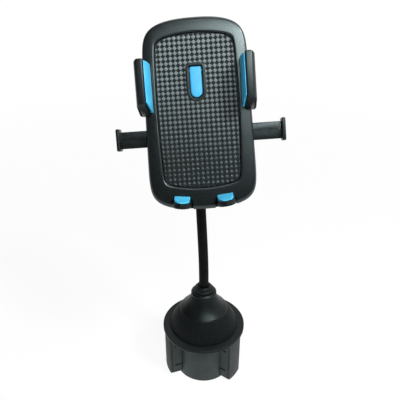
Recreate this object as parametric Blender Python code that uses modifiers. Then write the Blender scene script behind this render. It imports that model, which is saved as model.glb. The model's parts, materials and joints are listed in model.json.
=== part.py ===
# Car phone mount: a spring cradle on a bendable neck, standing on a base that
# widens to fill a cup holder. Metres, +Z up, the viewer stands on the -Y side.
# The cradle is drawn upright in its own frame, whose origin is the ball centre:
# x to the viewer's right, y away from the phone, z up the cradle.
import math

import bmesh
import bpy
from mathutils import Matrix, Vector

for old in list(bpy.data.objects):
    bpy.data.objects.remove(old)

mm = 0.001

# clearances
seat_gap = 0.3 * mm
slide_gap = 0.35 * mm

# base
cup_radius = 26.0 * mm
cup_wall = 2.2 * mm
cup_height = 45.5 * mm
cup_foot = 0.9 * mm
cup_inside = cup_radius - cup_wall
floor_thick = 2.6 * mm
disc_radius = 37.5 * mm
disc_thick = 4.0 * mm
disc_z = cup_height + seat_gap
hub_radius = 9.4 * mm
hub_low = cup_height - 0.6 * mm
knob_z = disc_z + disc_thick + seat_gap
knob_radius = 31.5 * mm
knob_wall = 2.2 * mm
knob_inner = 15.2 * mm           # middle of the ellipse that the dome follows
knob_rise = 20.0 * mm            # half height of that ellipse
flare_radius = 21.0 * mm
flare_z = knob_z + 19.5 * mm
knob_top = knob_z + 37.2 * mm
neck_ring = 11.4 * mm
neck_radius = 10.9 * mm
neck_z = knob_top - 4.3 * mm
spindle_radius = 5.4 * mm
spindle_bore = 4.75 * mm
spindle_well = knob_top - 21.3 * mm
spindle_top = knob_top + 3.7 * mm
spindle_foot_radius = 15.0 * mm
spindle_foot_thick = 3.0 * mm
base_screw_circle = 10.5 * mm
collar_low = knob_top + 0.4 * mm
collar_top = knob_top + 5.5 * mm
neck_start = knob_top + 9.5 * mm
collar_radius = 9.4 * mm
collar_rim = 7.9 * mm
block_width = 16.4 * mm
block_inner = 13.5 * mm
block_outer = 34.4 * mm
block_pad_thick = 1.7 * mm
block_angles = (-37.0, -161.0, 81.0)
scroll_radius = 22.1 * mm
scroll_thick = 2.0 * mm
scroll_z = cup_height - 2.9 * mm
pin_radius = 1.5 * mm
pin_rest = 11.0 * mm
rail_heights = (12.0 * mm, 35.5 * mm)
rail_thick = 1.0 * mm
scroll_lead = 3.82 * mm          # block travel for each radian of the knob
block_in = -2.5 * mm
block_out = 8.5 * mm

# neck
sleeve_radius = 4.25 * mm
sleeve_bore = 2.95 * mm
core_radius = 2.6 * mm
ferrule_floor = 2.6 * mm
core_foot = spindle_well + ferrule_floor + 0.8 * mm
sleeve_foot = knob_top - 2.9 * mm
neck_bend_radius = 38.0 * mm
neck_end_angle = math.radians(35.0)
neck_end_straight = 10.0 * mm
joint_lengths = (8.0 * mm, 52.0 * mm, 100.0 * mm, 134.0 * mm)
bend_cone = math.tan(math.radians(15.0))

# ball joint
ball_centre = Vector((-3.8, -19.6, 254.7)) * mm
ball_radius = 8.5 * mm
ball_reach = 19.0 * mm
liner_radius = 10.4 * mm
boss_bore = liner_radius + seat_gap
boss_radius = 13.0 * mm
boss_back = 4.0 * mm
cradle_yaw = math.radians(-3.0)
cradle_tilt = math.radians(-22.0)
cradle_roll = math.radians(-4.8)

# cradle housing, in the cradle frame
body_half = (34.5 * mm, 61.5 * mm)
body_power = (2.4, 10.5)
body_centre_z = -0.4 * mm
body_taper = 0.6                 # the sides draw in by this share for each metre up
body_x, body_z = body_half
wall = 2.0 * mm
front_y = -25.5 * mm
plate_front_y = -22.6 * mm
plate_back_y = -20.8 * mm
split_y = -18.15 * mm
rear_y = -11.0 * mm
rear_inside_y = -13.0 * mm
pad_half = (body_x - 8.7 * mm, body_z - 12.5 * mm)
pad_power = (12.0, 24.0)
pad_bow = 0.075                  # its ends bow by this share of its half height
pad_centre_z = 1.8 * mm
pad_front_y = -24.5 * mm
ring_points = 64

# sliders, rack and pinion
layer_thick = 3.2 * mm
front_layer = (-20.45 * mm, -20.45 * mm + layer_thick)
rear_layer = (-16.9 * mm, -16.9 * mm + layer_thick)
arm_low = 2.0 * mm
arm_high = 34.2 * mm
jaw_front = -42.3 * mm
bar_low = -19.0 * mm
bar_high = -9.0 * mm
tab_high = -7.8 * mm             # the bar is taller past its rack
tab_reach = 21.1 * mm
tab_end = body_x + tab_reach
flange_thick = 2.5 * mm
flange_rise = (1.4 * mm, 2.2 * mm)
arm_travel = tab_reach - flange_thick - 0.6 * mm
gear_teeth = 12
gear_pitch_radius = 4.5 * mm
gear_centre_z = -3.5 * mm
rack_pitch = 2.0 * math.pi * gear_pitch_radius / gear_teeth
rack_tip = 0.5 * mm
rack_root = 0.8 * mm
rack_backlash = 0.06 * mm
gear_tip = gear_pitch_radius + 0.6 * mm
rack_end = arm_travel + gear_tip + 3.4 * mm
rack_count = int(rack_end / rack_pitch)
strip_in = gear_tip + 1.4 * mm
strip = (strip_in, strip_in + 4.5 * mm)
axle_radius = 1.4 * mm

# trigger
pill_half = 3.7 * mm
pill_top = 29.8 * mm
pill_low = 10.6 * mm
trigger_pivot = Vector((0.0, -21.7 * mm, 27.9 * mm))

# feet
foot_x = 14.3 * mm
foot_half = 6.4 * mm
foot_turn = math.radians(7.0)
foot_low = -body_z + 2.4 * mm
foot_top = -body_z + 5.5 * mm
foot_front_y = -39.8 * mm
lip_thick = 1.0 * mm
lip_rise = 0.5 * mm
sole_rise = 3.8 * mm             # height of the foot pad at the housing
sole_low = 0.9 * mm              # and at its front
foot_plate = (-20.4 * mm, -18.6 * mm)
foot_plate_half = 20.5 * mm
foot_plate_rows = (-body_z + 4.5 * mm, -body_z + 23.5 * mm)

parts = bpy.data.collections.new("car_phone_mount")
tools = bpy.data.collections.new("cutters")
bpy.context.scene.collection.children.link(parts)
bpy.context.scene.collection.children.link(tools)


def material(name, colour, roughness, metallic=0.0):
    made = bpy.data.materials.new(name)
    made.use_nodes = True
    shader = made.node_tree.nodes["Principled BSDF"]
    shader.inputs["Base Color"].default_value = (*colour, 1.0)
    shader.inputs["Roughness"].default_value = roughness
    shader.inputs["Metallic"].default_value = metallic
    return made


satin_black = material("satin_black", (0.025, 0.026, 0.028), 0.38)
inner_black = material("inner_black", (0.04, 0.04, 0.042), 0.5)
sleeve_black = material("sleeve_black", (0.012, 0.012, 0.013), 0.55)
shoe_black = material("shoe_black", (0.03, 0.03, 0.032), 0.6)
pad_grey = material("pad_grey", (0.09, 0.1, 0.105), 0.6)
rubber_blue = material("rubber_blue", (0.09, 0.55, 0.9), 0.5)
steel = material("steel", (0.55, 0.55, 0.56), 0.3, 1.0)
nylon_white = material("nylon_white", (0.75, 0.75, 0.72), 0.45)


def add(name, mesh, finish, parent=None):
    obj = bpy.data.objects.new(name, mesh)
    mesh.materials.append(finish)
    mesh.shade_smooth()
    mesh.set_sharp_from_angle(angle=math.radians(35.0))
    parts.objects.link(obj)
    obj.parent = parent
    return obj


def tool(name, mesh, parent=None):
    obj = bpy.data.objects.new(name, mesh)
    tools.objects.link(obj)
    obj.parent = parent
    obj.hide_render = True
    obj.display_type = "WIRE"
    return obj


def boolean(obj, other, operation="DIFFERENCE"):
    step = obj.modifiers.new(operation.lower() + "_" + other.name, "BOOLEAN")
    step.operation = operation
    step.solver = "EXACT"
    step.object = other


def soften(obj, width, segments=2, angle=40.0):
    step = obj.modifiers.new("soft_edges", "BEVEL")
    step.width = width
    step.segments = segments
    step.limit_method = "ANGLE"
    step.angle_limit = math.radians(angle)


def boxes(name, ranges):
    # one mesh of separate boxes, each given as x, y and z ranges
    bm = bmesh.new()
    for (x0, x1), (y0, y1), (z0, z1) in ranges:
        size = Matrix.Diagonal((x1 - x0, y1 - y0, z1 - z0, 1.0))
        middle = Vector((x0 + x1, y0 + y1, z0 + z1)) / 2.0
        bmesh.ops.create_cube(bm, size=1.0, matrix=Matrix.Translation(middle) @ size)
    mesh = bpy.data.meshes.new(name)
    bm.to_mesh(mesh)
    bm.free()
    return mesh


def rods(name, rod_list, sides=16):
    # one mesh of separate cylinders along local y: centre x, centre z, radius, y range
    bm = bmesh.new()
    turn = Matrix.Rotation(math.radians(90.0), 4, "X")
    for x, z, radius, (y0, y1) in rod_list:
        spot = Matrix.Translation((x, (y0 + y1) / 2.0, z)) @ turn
        bmesh.ops.create_cone(bm, cap_ends=True, segments=sides, radius1=radius,
                              radius2=radius, depth=y1 - y0, matrix=spot)
    mesh = bpy.data.meshes.new(name)
    bm.to_mesh(mesh)
    bm.free()
    return mesh


def profile_mesh(name, points, closed):
    mesh = bpy.data.meshes.new(name)
    count = len(points)
    edges = [(i, i + 1) for i in range(count - 1)]
    if closed:
        edges.append((count - 1, 0))
    mesh.from_pydata([(r, 0.0, z) for r, z in points], edges, [])
    return mesh


def turn_profile(obj, steps):
    screw = obj.modifiers.new("turned", "SCREW")
    screw.axis = "Z"
    screw.steps = steps
    screw.render_steps = steps
    screw.use_smooth_shade = True
    screw.use_merge_vertices = True
    screw.merge_threshold = 0.00002
    return obj


def turned(name, points, finish, closed, parent=None, steps=48):
    # points are radius and height, running top to bottom on the outer side
    return turn_profile(add(name, profile_mesh(name, points, closed), finish, parent), steps)


def ellipse_line(middle, reach, first, last, count):
    # points round an ellipse between two angles in degrees
    made = []
    for i in range(count + 1):
        a = math.radians(first + (last - first) * i / count)
        made.append((middle[0] + reach[0] * math.cos(a), middle[1] + reach[1] * math.sin(a)))
    return made


def plate(name, loops, low, high, upright=False):
    # flat outline with holes, thick from low to high along z, or along y when upright
    curve = bpy.data.curves.new(name, "CURVE")
    curve.dimensions = "2D"
    curve.fill_mode = "BOTH"
    curve.extrude = (high - low) / 2.0
    for loop in loops:
        spline = curve.splines.new("POLY")
        spline.points.add(len(loop) - 1)
        for point, (u, v) in zip(spline.points, loop):
            point.co = (u, v, 0.0, 1.0)
        spline.use_cyclic_u = True
    holder = bpy.data.objects.new(name + "_outline", curve)
    bpy.context.scene.collection.objects.link(holder)
    graph = bpy.context.evaluated_depsgraph_get()
    mesh = bpy.data.meshes.new_from_object(holder.evaluated_get(graph))
    mesh.name = name
    bpy.data.objects.remove(holder)
    bm = bmesh.new()
    bm.from_mesh(mesh)
    bmesh.ops.remove_doubles(bm, verts=bm.verts, dist=0.000001)
    bmesh.ops.dissolve_limit(bm, angle_limit=math.radians(0.5), verts=bm.verts, edges=bm.edges)
    bmesh.ops.recalc_face_normals(bm, faces=bm.faces)
    bm.to_mesh(mesh)
    bm.free()
    middle = (low + high) / 2.0
    if upright:
        stand = Matrix.Rotation(math.radians(90.0), 4, "X")
        mesh.transform(Matrix.Translation((0.0, middle, 0.0)) @ stand)
    else:
        mesh.transform(Matrix.Translation((0.0, 0.0, middle)))
    return mesh


def loft(name, rings):
    # skin through rings of equal count, the first and last ring filled flat
    bm = bmesh.new()
    rows = [[bm.verts.new(p) for p in ring] for ring in rings]
    count = len(rows[0])
    for near, far in zip(rows, rows[1:]):
        for i in range(count):
            k = (i + 1) % count
            bm.faces.new((near[i], near[k], far[k], far[i]))
    bm.faces.new(rows[0])
    bm.faces.new(rows[-1])
    bmesh.ops.recalc_face_normals(bm, faces=bm.faces)
    mesh = bpy.data.meshes.new(name)
    bm.to_mesh(mesh)
    bm.free()
    return mesh


def coil(name, radius, wire, curls, start, end, finish, parent=None):
    # round wire wound curls times from start to end, every place by formula
    axis = (end - start).normalized()
    side = axis.orthogonal().normalized()
    other = axis.cross(side)
    per_curl = 8
    count = curls * per_curl
    curve = bpy.data.curves.new(name, "CURVE")
    curve.dimensions = "3D"
    curve.bevel_depth = wire
    curve.bevel_resolution = 1
    curve.use_fill_caps = True
    spline = curve.splines.new("POLY")
    spline.points.add(count)
    for i, point in enumerate(spline.points):
        turn = 2.0 * math.pi * i / per_curl
        place = start + (end - start) * (i / count)
        place = place + side * (radius * math.cos(turn)) + other * (radius * math.sin(turn))
        point.co = (*place, 1.0)
    gap = (end - start).length / curls - 2.0 * wire
    print(name, "gap between curls mm", round(gap / mm, 2))
    return add(name, solid_of(name, curve), finish, parent)


def solid_of(name, curve):
    holder = bpy.data.objects.new(name + "_wire", curve)
    bpy.context.scene.collection.objects.link(holder)
    graph = bpy.context.evaluated_depsgraph_get()
    mesh = bpy.data.meshes.new_from_object(holder.evaluated_get(graph))
    mesh.name = name
    bpy.data.objects.remove(holder)
    bm = bmesh.new()
    bm.from_mesh(mesh)
    bmesh.ops.remove_doubles(bm, verts=bm.verts, dist=0.000001)
    bmesh.ops.recalc_face_normals(bm, faces=bm.faces)
    bm.to_mesh(mesh)
    bm.free()
    mesh.materials.clear()
    return mesh


def set_origin(obj, spot):
    # moves the object's origin onto its joint without moving the shape
    obj.data.transform(Matrix.Translation(-spot))
    obj.location = spot


def oval(half, power, centre_z, y, shrink=0.0, taper=0.0, bow=0.0):
    # |x/a|^p + |z/b|^q = 1, sampled along fixed directions so rings line up
    a = half[0] - shrink
    b = half[1] - shrink
    ring = []
    for i in range(ring_points):
        t = 2.0 * math.pi * (i + 0.5) / ring_points
        c = abs(math.cos(t))
        s = abs(math.sin(t))
        low = 0.5
        high = 1.6
        for _ in range(40):
            mid = (low + high) / 2.0
            if (mid * c) ** power[0] + (mid * s) ** power[1] < 1.0:
                low = mid
            else:
                high = mid
        z = centre_z + low * b * math.sin(t) * (1.0 - bow * (low * c) ** 2)
        ring.append((low * a * math.cos(t) * (1.0 - taper * z), y, z))
    return ring


def pad_ring(y, shrink=0.0):
    return oval(pad_half, pad_power, pad_centre_z, y, shrink, 0.0, pad_bow)


def body_ring(y, shrink=0.0):
    return oval(body_half, body_power, body_centre_z, y, shrink, body_taper)


# base: a cup with a window for each block, closed by the disc
window_half = block_width / 2.0 + 0.4 * mm
base_cup = turned("base_cup", [
    (0.0, floor_thick), (cup_inside, floor_thick), (cup_inside, cup_height), (cup_radius, cup_height),
    (cup_radius, cup_foot), (cup_radius - cup_foot, 0.0), (0.0, 0.0)], satin_black, False, steps=48)
for number, degrees in enumerate(block_angles):
    turn = Matrix.Rotation(math.radians(degrees), 4, "Z")
    slot = tool("window_%d" % number, boxes("window_%d" % number, [
        ((cup_radius - 11.0 * mm, cup_radius + 14.0 * mm), (-window_half, window_half),
         (floor_thick + 0.4 * mm, cup_height + 15.0 * mm))]))
    slot.data.transform(turn)
    boolean(base_cup, slot)
for number, degrees in enumerate(block_angles):
    turn = Matrix.Rotation(math.radians(degrees), 4, "Z")
    rails = []
    for rail_z in rail_heights:
        for side in (-1.0, 1.0):
            across = sorted((side * (window_half - 1.2 * mm), side * (window_half + 0.6 * mm)))
            deep = (cup_inside - 2.1 * mm, cup_inside - 0.5 * mm)
            rails.append((deep, tuple(across), (rail_z, rail_z + rail_thick)))
    rail = tool("rails_%d" % number, boxes("rails_%d" % number, rails))
    rail.data.transform(turn)
    boolean(base_cup, rail, "UNION")

spindle_foot = floor_thick + seat_gap
spindle_foot_top = spindle_foot + spindle_foot_thick
spindle = turned("spindle", [
    (0.0, spindle_well), (spindle_bore, spindle_well), (spindle_bore, spindle_top),
    (spindle_radius, spindle_top), (spindle_radius, spindle_foot_top),
    (spindle_foot_radius, spindle_foot_top), (spindle_foot_radius, spindle_foot),
    (0.0, spindle_foot)], inner_black, False, steps=24)
shank_radius = 1.2 * mm
head_radius = 2.9 * mm
head_top = 1.2 * mm
shank_top = spindle_foot_top - 0.6 * mm
for number, degrees in enumerate((20.0, 140.0, 260.0)):
    out = Matrix.Translation((base_screw_circle, 0.0, 0.0))
    spot = Matrix.Rotation(math.radians(degrees), 4, "Z") @ out
    hole = tool("base_hole_%d" % number, profile_mesh("base_hole_%d" % number, [
        (0.0, shank_top + seat_gap), (shank_radius + seat_gap, shank_top + seat_gap),
        (shank_radius + seat_gap, head_top + seat_gap), (head_radius + seat_gap, head_top + seat_gap),
        (head_radius + seat_gap, -1.0 * mm), (0.0, -1.0 * mm)], False))
    hole.matrix_world = spot
    turn_profile(hole, 16)
    boolean(base_cup, hole)
    boolean(spindle, hole)
    screw = turned("base_screw_%d" % (number + 1), [
        (0.0, shank_top), (shank_radius, shank_top), (shank_radius, head_top), (head_radius, head_top),
        (head_radius, 0.3 * mm), (0.0, 0.3 * mm)], steel, False, steps=10)
    screw.matrix_world = spot

disc_top = disc_z + disc_thick
disc_bore = hub_radius + 0.5 * mm
top_disc = turned("top_disc", [
    (disc_bore, disc_top), (disc_radius - 1.1 * mm, disc_top), (disc_radius, disc_top - 0.9 * mm),
    (disc_radius, disc_z + 0.8 * mm), (disc_radius - 0.8 * mm, disc_z), (disc_bore, disc_z)],
    satin_black, True, steps=52)
legs = boxes("snap_legs", [
    ((cup_inside - 1.35 * mm, cup_inside - 0.6 * mm), (-3.4 * mm, 3.4 * mm),
     (cup_height - 4.5 * mm, disc_z + 0.8 * mm))])
for number, degrees in enumerate(block_angles):
    leg = tool("snap_leg_%d" % number, legs.copy())
    leg.data.transform(Matrix.Rotation(math.radians(degrees + 60.0), 4, "Z"))
    boolean(top_disc, leg, "UNION")

# a hollow bell flares out to an edge, and a dome bulges from it down to the foot
knob_bore = spindle_radius + 0.6 * mm
dome_reach = knob_radius - knob_inner
dome_top = math.degrees(math.asin((flare_z - 0.6 * mm - knob_z) / knob_rise))
knob_line = [(knob_bore, knob_top), (neck_ring - 1.6 * mm, knob_top),
             (neck_ring - 0.4 * mm, knob_top - 0.9 * mm), (neck_ring, knob_top - 2.1 * mm),
             (neck_ring, knob_top - 3.3 * mm), (neck_ring - 0.5 * mm, knob_top - 4.0 * mm)]
knob_line += ellipse_line((flare_radius, neck_z), (flare_radius - neck_radius, neck_z - flare_z),
                          180.0, 270.0, 5)
knob_line += ellipse_line((knob_inner, knob_z), (dome_reach, knob_rise), dome_top, 0.0, 5)
knob_line += ellipse_line((knob_inner, knob_z), (dome_reach - knob_wall, knob_rise - 3.4 * mm),
                          0.0, 56.0, 3)
knob_line += [(hub_radius, knob_top - 16.0 * mm), (hub_radius, hub_low), (knob_bore, hub_low)]
turned("twist_knob", knob_line, satin_black, True, steps=40)

collar_step = spindle_top + 0.4 * mm
collar_bore = sleeve_radius + 0.35 * mm
collar_inside = spindle_radius + 0.35 * mm
turned("neck_collar", [
    (collar_bore, collar_top), (collar_rim - 1.5 * mm, collar_top),
    (collar_rim - 0.3 * mm, collar_top - 0.8 * mm), (collar_rim, collar_top - 1.6 * mm),
    (collar_rim, collar_low + 2.3 * mm), (collar_radius - 0.6 * mm, collar_low + 2.1 * mm),
    (collar_radius, collar_low + 1.3 * mm), (collar_radius, collar_low), (collar_inside, collar_low),
    (collar_inside, collar_step), (collar_bore, collar_step)], satin_black, True, steps=28)


def circle(radius, count):
    return [(radius * math.cos(2.0 * math.pi * i / count), radius * math.sin(2.0 * math.pi * i / count))
            for i in range(count)]


def spiral_slot(degrees):
    # closed outline round an Archimedean spiral, as wide as the pin and its play
    half = pin_radius + 0.25 * mm
    first = block_in / scroll_lead - 0.08
    last = block_out / scroll_lead + 0.08
    steps = 12
    outer = []
    inner = []
    for i in range(steps + 1):
        turn = first + (last - first) * i / steps
        radius = pin_rest + scroll_lead * turn
        angle = math.radians(degrees) - turn
        place = Vector((radius * math.cos(angle), radius * math.sin(angle)))
        slope = Vector((scroll_lead * math.cos(angle) + radius * math.sin(angle),
                        scroll_lead * math.sin(angle) - radius * math.cos(angle))).normalized()
        out = Vector((-slope.y, slope.x))
        outer.append(place + out * half)
        inner.append(place - out * half)
        if i == 0:
            start_cap = (place, -slope, out)
        if i == steps:
            end_cap = (place, slope, out)

    def cap(spot, ahead, out, sign):
        made = []
        for k in range(1, 5):
            a = math.pi * k / 5.0
            made.append(spot + out * (sign * half * math.cos(a)) + ahead * (half * math.sin(a)))
        return made

    loop = outer + cap(*end_cap, 1.0) + inner[::-1] + cap(*start_cap, -1.0)
    return [(p.x, p.y) for p in loop]


scroll_loops = [circle(scroll_radius, 44), circle(spindle_radius + 0.5 * mm, 20)]
for degrees in block_angles:
    scroll_loops.append(spiral_slot(degrees))
add("scroll_plate", plate("scroll_plate", scroll_loops, scroll_z, scroll_z + scroll_thick), steel)


def block_outline(inner, outer):
    # flat ended block with an outer end that follows a circle round the base axis
    half = block_width / 2.0
    ends = []
    for i in range(9):
        y = -half + 2.0 * half * i / 8
        ends.append((math.sqrt(outer * outer - y * y), y))
    if inner > block_inner:
        back = [(math.sqrt(inner * inner - y * y), y) for _, y in reversed(ends)]
    else:
        back = [(inner, half), (inner, -half)]
    return ends + back


def expander(number, degrees):
    # a hollow block: room over it for the scroll, room under it for the spindle's foot, and a
    # groove in each side for the cup's rails; a pin on its inner lug runs in the scroll
    turn = math.radians(degrees)
    low = floor_thick + 0.8 * mm
    high = disc_z - 0.4 * mm
    half = block_width / 2.0
    block = add("expander_%d" % number,
                plate("expander", [block_outline(block_inner, block_outer)], low, high), satin_black)
    block.rotation_euler = (0.0, 0.0, turn)
    whole = (-half - 2.0 * mm, half + 2.0 * mm)
    lug_top = scroll_z - 0.4 * mm
    cuts = [((0.0, cup_radius + 0.2 * mm), whole, (lug_top, disc_z + 5.0 * mm)),
            ((0.0, spindle_foot_radius + 4.2 * mm), whole, (0.0, spindle_foot_top + 0.5 * mm)),
            ((0.0, block_outer - 2.5 * mm), (-half + 2.8 * mm, half - 2.8 * mm),
             (low + 6.1 * mm, rail_heights[1] - 2.5 * mm))]
    for rail_z in rail_heights:
        groove = (rail_z - 0.4 * mm, rail_z + rail_thick + 0.4 * mm)
        cuts.append(((0.0, block_outer - 3.5 * mm), (-half - 1.0 * mm, -half + 1.5 * mm), groove))
        cuts.append(((0.0, block_outer - 3.5 * mm), (half - 1.5 * mm, half + 1.0 * mm), groove))
    away = tool("expander_cut_%d" % number, boxes("expander_cut", cuts))
    away.rotation_euler = (0.0, 0.0, turn)
    boolean(block, away)
    lug = tool("expander_lug_%d" % number, boxes("expander_lug", [
        ((pin_rest - 2.6 * mm, block_inner + 1.0 * mm), (-4.0 * mm, 4.0 * mm),
         (lug_top - 4.4 * mm, lug_top))]))
    lug.rotation_euler = (0.0, 0.0, turn)
    boolean(block, lug, "UNION")
    pin_top = lug_top + scroll_thick
    pin_foot = lug_top - 1.2 * mm
    pin = tool("expander_pin_%d" % number, profile_mesh("expander_pin", [
        (0.0, pin_top), (pin_radius, pin_top), (pin_radius, pin_foot), (0.0, pin_foot)], False))
    turn_profile(pin, 14)
    pin.location = (pin_rest * math.cos(turn), pin_rest * math.sin(turn), 0.0)
    boolean(block, pin, "UNION")
    face = block_outer + seat_gap
    shoe_loop = block_outline(face, face + block_pad_thick)
    shoe = add("expander_pad_%d" % number, plate("expander_pad", [shoe_loop], low, high), shoe_black)
    shoe.rotation_euler = (0.0, 0.0, turn)
    soften(shoe, 0.5 * mm, 1)


for number, degrees in enumerate(block_angles):
    expander(number + 1, degrees)

# neck: five lengths of core that meet at the bends, inside one sleeve
end_ahead = Vector((0.0, -math.cos(neck_end_angle), math.sin(neck_end_angle)))
neck_end = ball_centre - end_ahead * ball_reach
arc_turn = math.pi / 2.0 - neck_end_angle
arc_end = neck_end - end_ahead * neck_end_straight
arc_back_y = arc_end.y + neck_bend_radius * (1.0 - math.cos(arc_turn))
arc_foot_z = arc_end.z - neck_bend_radius * math.sin(arc_turn)


def neck_line():
    # straight foot, a smooth lean back, an arc that turns forward, a straight end
    line = [Vector((0.0, 0.0, core_foot)), Vector((0.0, 0.0, sleeve_foot))]
    rise = arc_foot_z - neck_start
    for i in range(61):
        u = i / 60.0
        ease = u * u * (3.0 - 2.0 * u)
        line.append(Vector((neck_end.x * ease, arc_back_y * ease, neck_start + rise * u)))
    for i in range(1, 25):
        a = arc_turn * i / 24.0
        back = arc_back_y - neck_bend_radius * (1.0 - math.cos(a))
        line.append(Vector((neck_end.x, back, arc_foot_z + neck_bend_radius * math.sin(a))))
    line.append(neck_end)
    return line


neck_points = neck_line()
neck_lengths = [0.0]
for before, after in zip(neck_points, neck_points[1:]):
    neck_lengths.append(neck_lengths[-1] + (after - before).length)
neck_zero = neck_start - core_foot
neck_total = neck_lengths[-1]


def neck_at(length):
    # place and direction on the neck line, length counted from the neck start
    want = min(max(length + neck_zero, 0.0), neck_total)
    for i in range(1, len(neck_lengths)):
        if neck_lengths[i] >= want:
            break
    share = (want - neck_lengths[i - 1]) / (neck_lengths[i] - neck_lengths[i - 1])
    place = neck_points[i - 1].lerp(neck_points[i], share)
    return place, (neck_points[i] - neck_points[i - 1]).normalized()


def tube_rows(stations, sides):
    # rings along the neck: each station is a length and a radius
    rows = []
    for length, radius in stations:
        place, ahead = neck_at(length)
        across = Vector((1.0, 0.0, 0.0))
        across = (across - ahead * across.dot(ahead)).normalized()
        up = ahead.cross(across)
        row = []
        for k in range(sides):
            a = 2.0 * math.pi * k / sides
            row.append(place + across * (radius * math.cos(a)) + up * (radius * math.sin(a)))
        rows.append(row)
    return rows


core_end = neck_total - neck_zero - 0.4 * mm
core_breaks = (core_foot - neck_start, *joint_lengths, core_end)
for number in range(5):
    begin = core_breaks[number]
    finish_at = core_breaks[number + 1]
    cone = core_radius * bend_cone
    stations = []
    if number > 0:
        stations += [(begin + 0.2 * mm, 0.25 * mm), (begin + 0.2 * mm + cone, core_radius)]
    else:
        stations += [(begin, core_radius)]
    middle = max(2, int((finish_at - begin) / (7.0 * mm)))
    for i in range(1, middle):
        stations.append((begin + (finish_at - begin) * i / middle, core_radius))
    if number < 4:
        stations += [(finish_at - 0.2 * mm - cone, core_radius), (finish_at - 0.2 * mm, 0.25 * mm)]
    else:
        stations += [(finish_at, core_radius)]
    core = add("neck_core_%d" % (number + 1), loft("neck_core", tube_rows(stations, 12)), steel)
    if number > 0:
        set_origin(core, neck_at(begin)[0])

sleeve_steps = 21
sleeve_begin = sleeve_foot - neck_start
sleeve_rows = []
for i in range(sleeve_steps + 1):
    sleeve_rows.append((sleeve_begin + (core_end - sleeve_begin) * i / sleeve_steps, sleeve_radius))
sleeve = add("neck_sleeve", loft("neck_sleeve", tube_rows(sleeve_rows, 12)), sleeve_black)
bore_rows = [(length, sleeve_bore) for length, _ in sleeve_rows]
bore_rows[0] = (sleeve_begin - 5.0 * mm, sleeve_bore)
bore_lines = tube_rows(bore_rows, 12)
past_end = [p + end_ahead * (5.0 * mm) for p in bore_lines[-1]]
boolean(sleeve, tool("neck_bore", loft("neck_bore", bore_lines + [past_end])))

core_bore = core_radius + seat_gap
lower_radius = spindle_bore - 0.35 * mm
lower_foot = spindle_well + 0.4 * mm
lower_floor = lower_foot + ferrule_floor
lower_top = sleeve_foot - 0.4 * mm
turned("lower_ferrule", [
    (0.0, lower_floor), (core_bore, lower_floor), (core_bore, lower_top), (lower_radius, lower_top),
    (lower_radius, lower_foot), (0.0, lower_foot)], steel, False, steps=24)
stem_radius = 2.6 * mm
stem_bore = stem_radius + seat_gap
upper_radius = 5.7 * mm
upper_bore = sleeve_radius + 0.35 * mm
upper_low = -9.0 * mm
upper_floor = 1.3 * mm
upper_top = 5.8 * mm
ferrule = turned("upper_ferrule", [
    (0.0, upper_floor), (stem_bore, upper_floor), (stem_bore, upper_top),
    (upper_radius - 0.5 * mm, upper_top), (upper_radius, upper_top - 0.8 * mm), (upper_radius, upper_low),
    (upper_bore, upper_low), (upper_bore, 0.0), (0.0, 0.0)], satin_black, False, steps=28)
ferrule.location = neck_end
ferrule.rotation_euler = (arc_turn, 0.0, 0.0)


def sphere_points(radius, centre, first, last, count):
    # half outline of a ball between two heights
    made = []
    a0 = math.acos(max(-1.0, min(1.0, (first - centre) / radius)))
    a1 = math.acos(max(-1.0, min(1.0, (last - centre) / radius)))
    for i in range(count + 1):
        a = a0 + (a1 - a0) * i / count
        made.append((max(0.0, radius * math.sin(a)), centre + radius * math.cos(a)))
    return made


stud_shank = 3.6 * mm
shoulder = upper_top + seat_gap
stem_foot = upper_floor + seat_gap
shank_join = ball_reach - math.sqrt(ball_radius ** 2 - stud_shank ** 2)
stud_line = sphere_points(ball_radius, ball_reach, ball_reach + ball_radius, shank_join, 9)
stud_line[0] = (0.0, ball_reach + ball_radius)
stud_line += [(stud_shank, shoulder), (stem_radius, shoulder), (stem_radius, stem_foot), (0.0, stem_foot)]
stud = turned("ball_stud", stud_line, steel, False, steps=24)
stud.location = neck_end
stud.rotation_euler = (arc_turn, 0.0, 0.0)

# cradle: everything from here hangs on this empty at the ball
cradle = bpy.data.objects.new("cradle_frame", None)
parts.objects.link(cradle)
cradle.rotation_mode = "YXZ"
cradle.location = ball_centre
cradle.rotation_euler = (cradle_tilt, cradle_roll, cradle_yaw)
back_turn = (math.radians(-90.0), 0.0, 0.0)

liner_bore = ball_radius + seat_gap
liner_edge = 3.2 * mm
outer_line = sphere_points(liner_radius, 0.0, liner_edge, -liner_radius, 7)
outer_line[-1] = (0.0, -liner_radius)
inner_line = sphere_points(liner_bore, 0.0, -liner_bore, liner_edge, 7)
inner_line[0] = (0.0, -liner_bore)
liner = turned("ball_liner", inner_line + outer_line, nylon_white, False, cradle, steps=24)
liner.rotation_euler = back_turn

nut_radius = 16.4 * mm
nut_bore = boss_radius + 0.35 * mm
nut_back = 6.5 * mm
nut_seat = boss_back + 0.4 * mm
nut_front = rear_y + 0.6 * mm
nut_mouth = 9.5 * mm
nut = turned("locking_nut", [
    (nut_mouth, nut_back), (nut_radius - 1.0 * mm, nut_back), (nut_radius, nut_back - 1.0 * mm),
    (nut_radius, nut_front + 0.8 * mm), (nut_radius - 0.8 * mm, nut_front), (nut_bore, nut_front),
    (nut_bore, nut_seat), (nut_mouth - 0.75 * mm, nut_seat)], satin_black, True, cradle, steps=36)
nut.rotation_euler = back_turn
ridge_bits = []
ridge_circle = nut_radius + 0.7 * mm
for i in range(12):
    a = 2.0 * math.pi * (i + 0.5) / 12
    ridge_bits.append((ridge_circle * math.cos(a), ridge_circle * math.sin(a), 1.5 * mm,
                       (nut_front - 1.6 * mm, nut_back + 1.5 * mm)))
boolean(nut, tool("nut_grip", rods("nut_grip", ridge_bits, 8), cradle))

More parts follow.
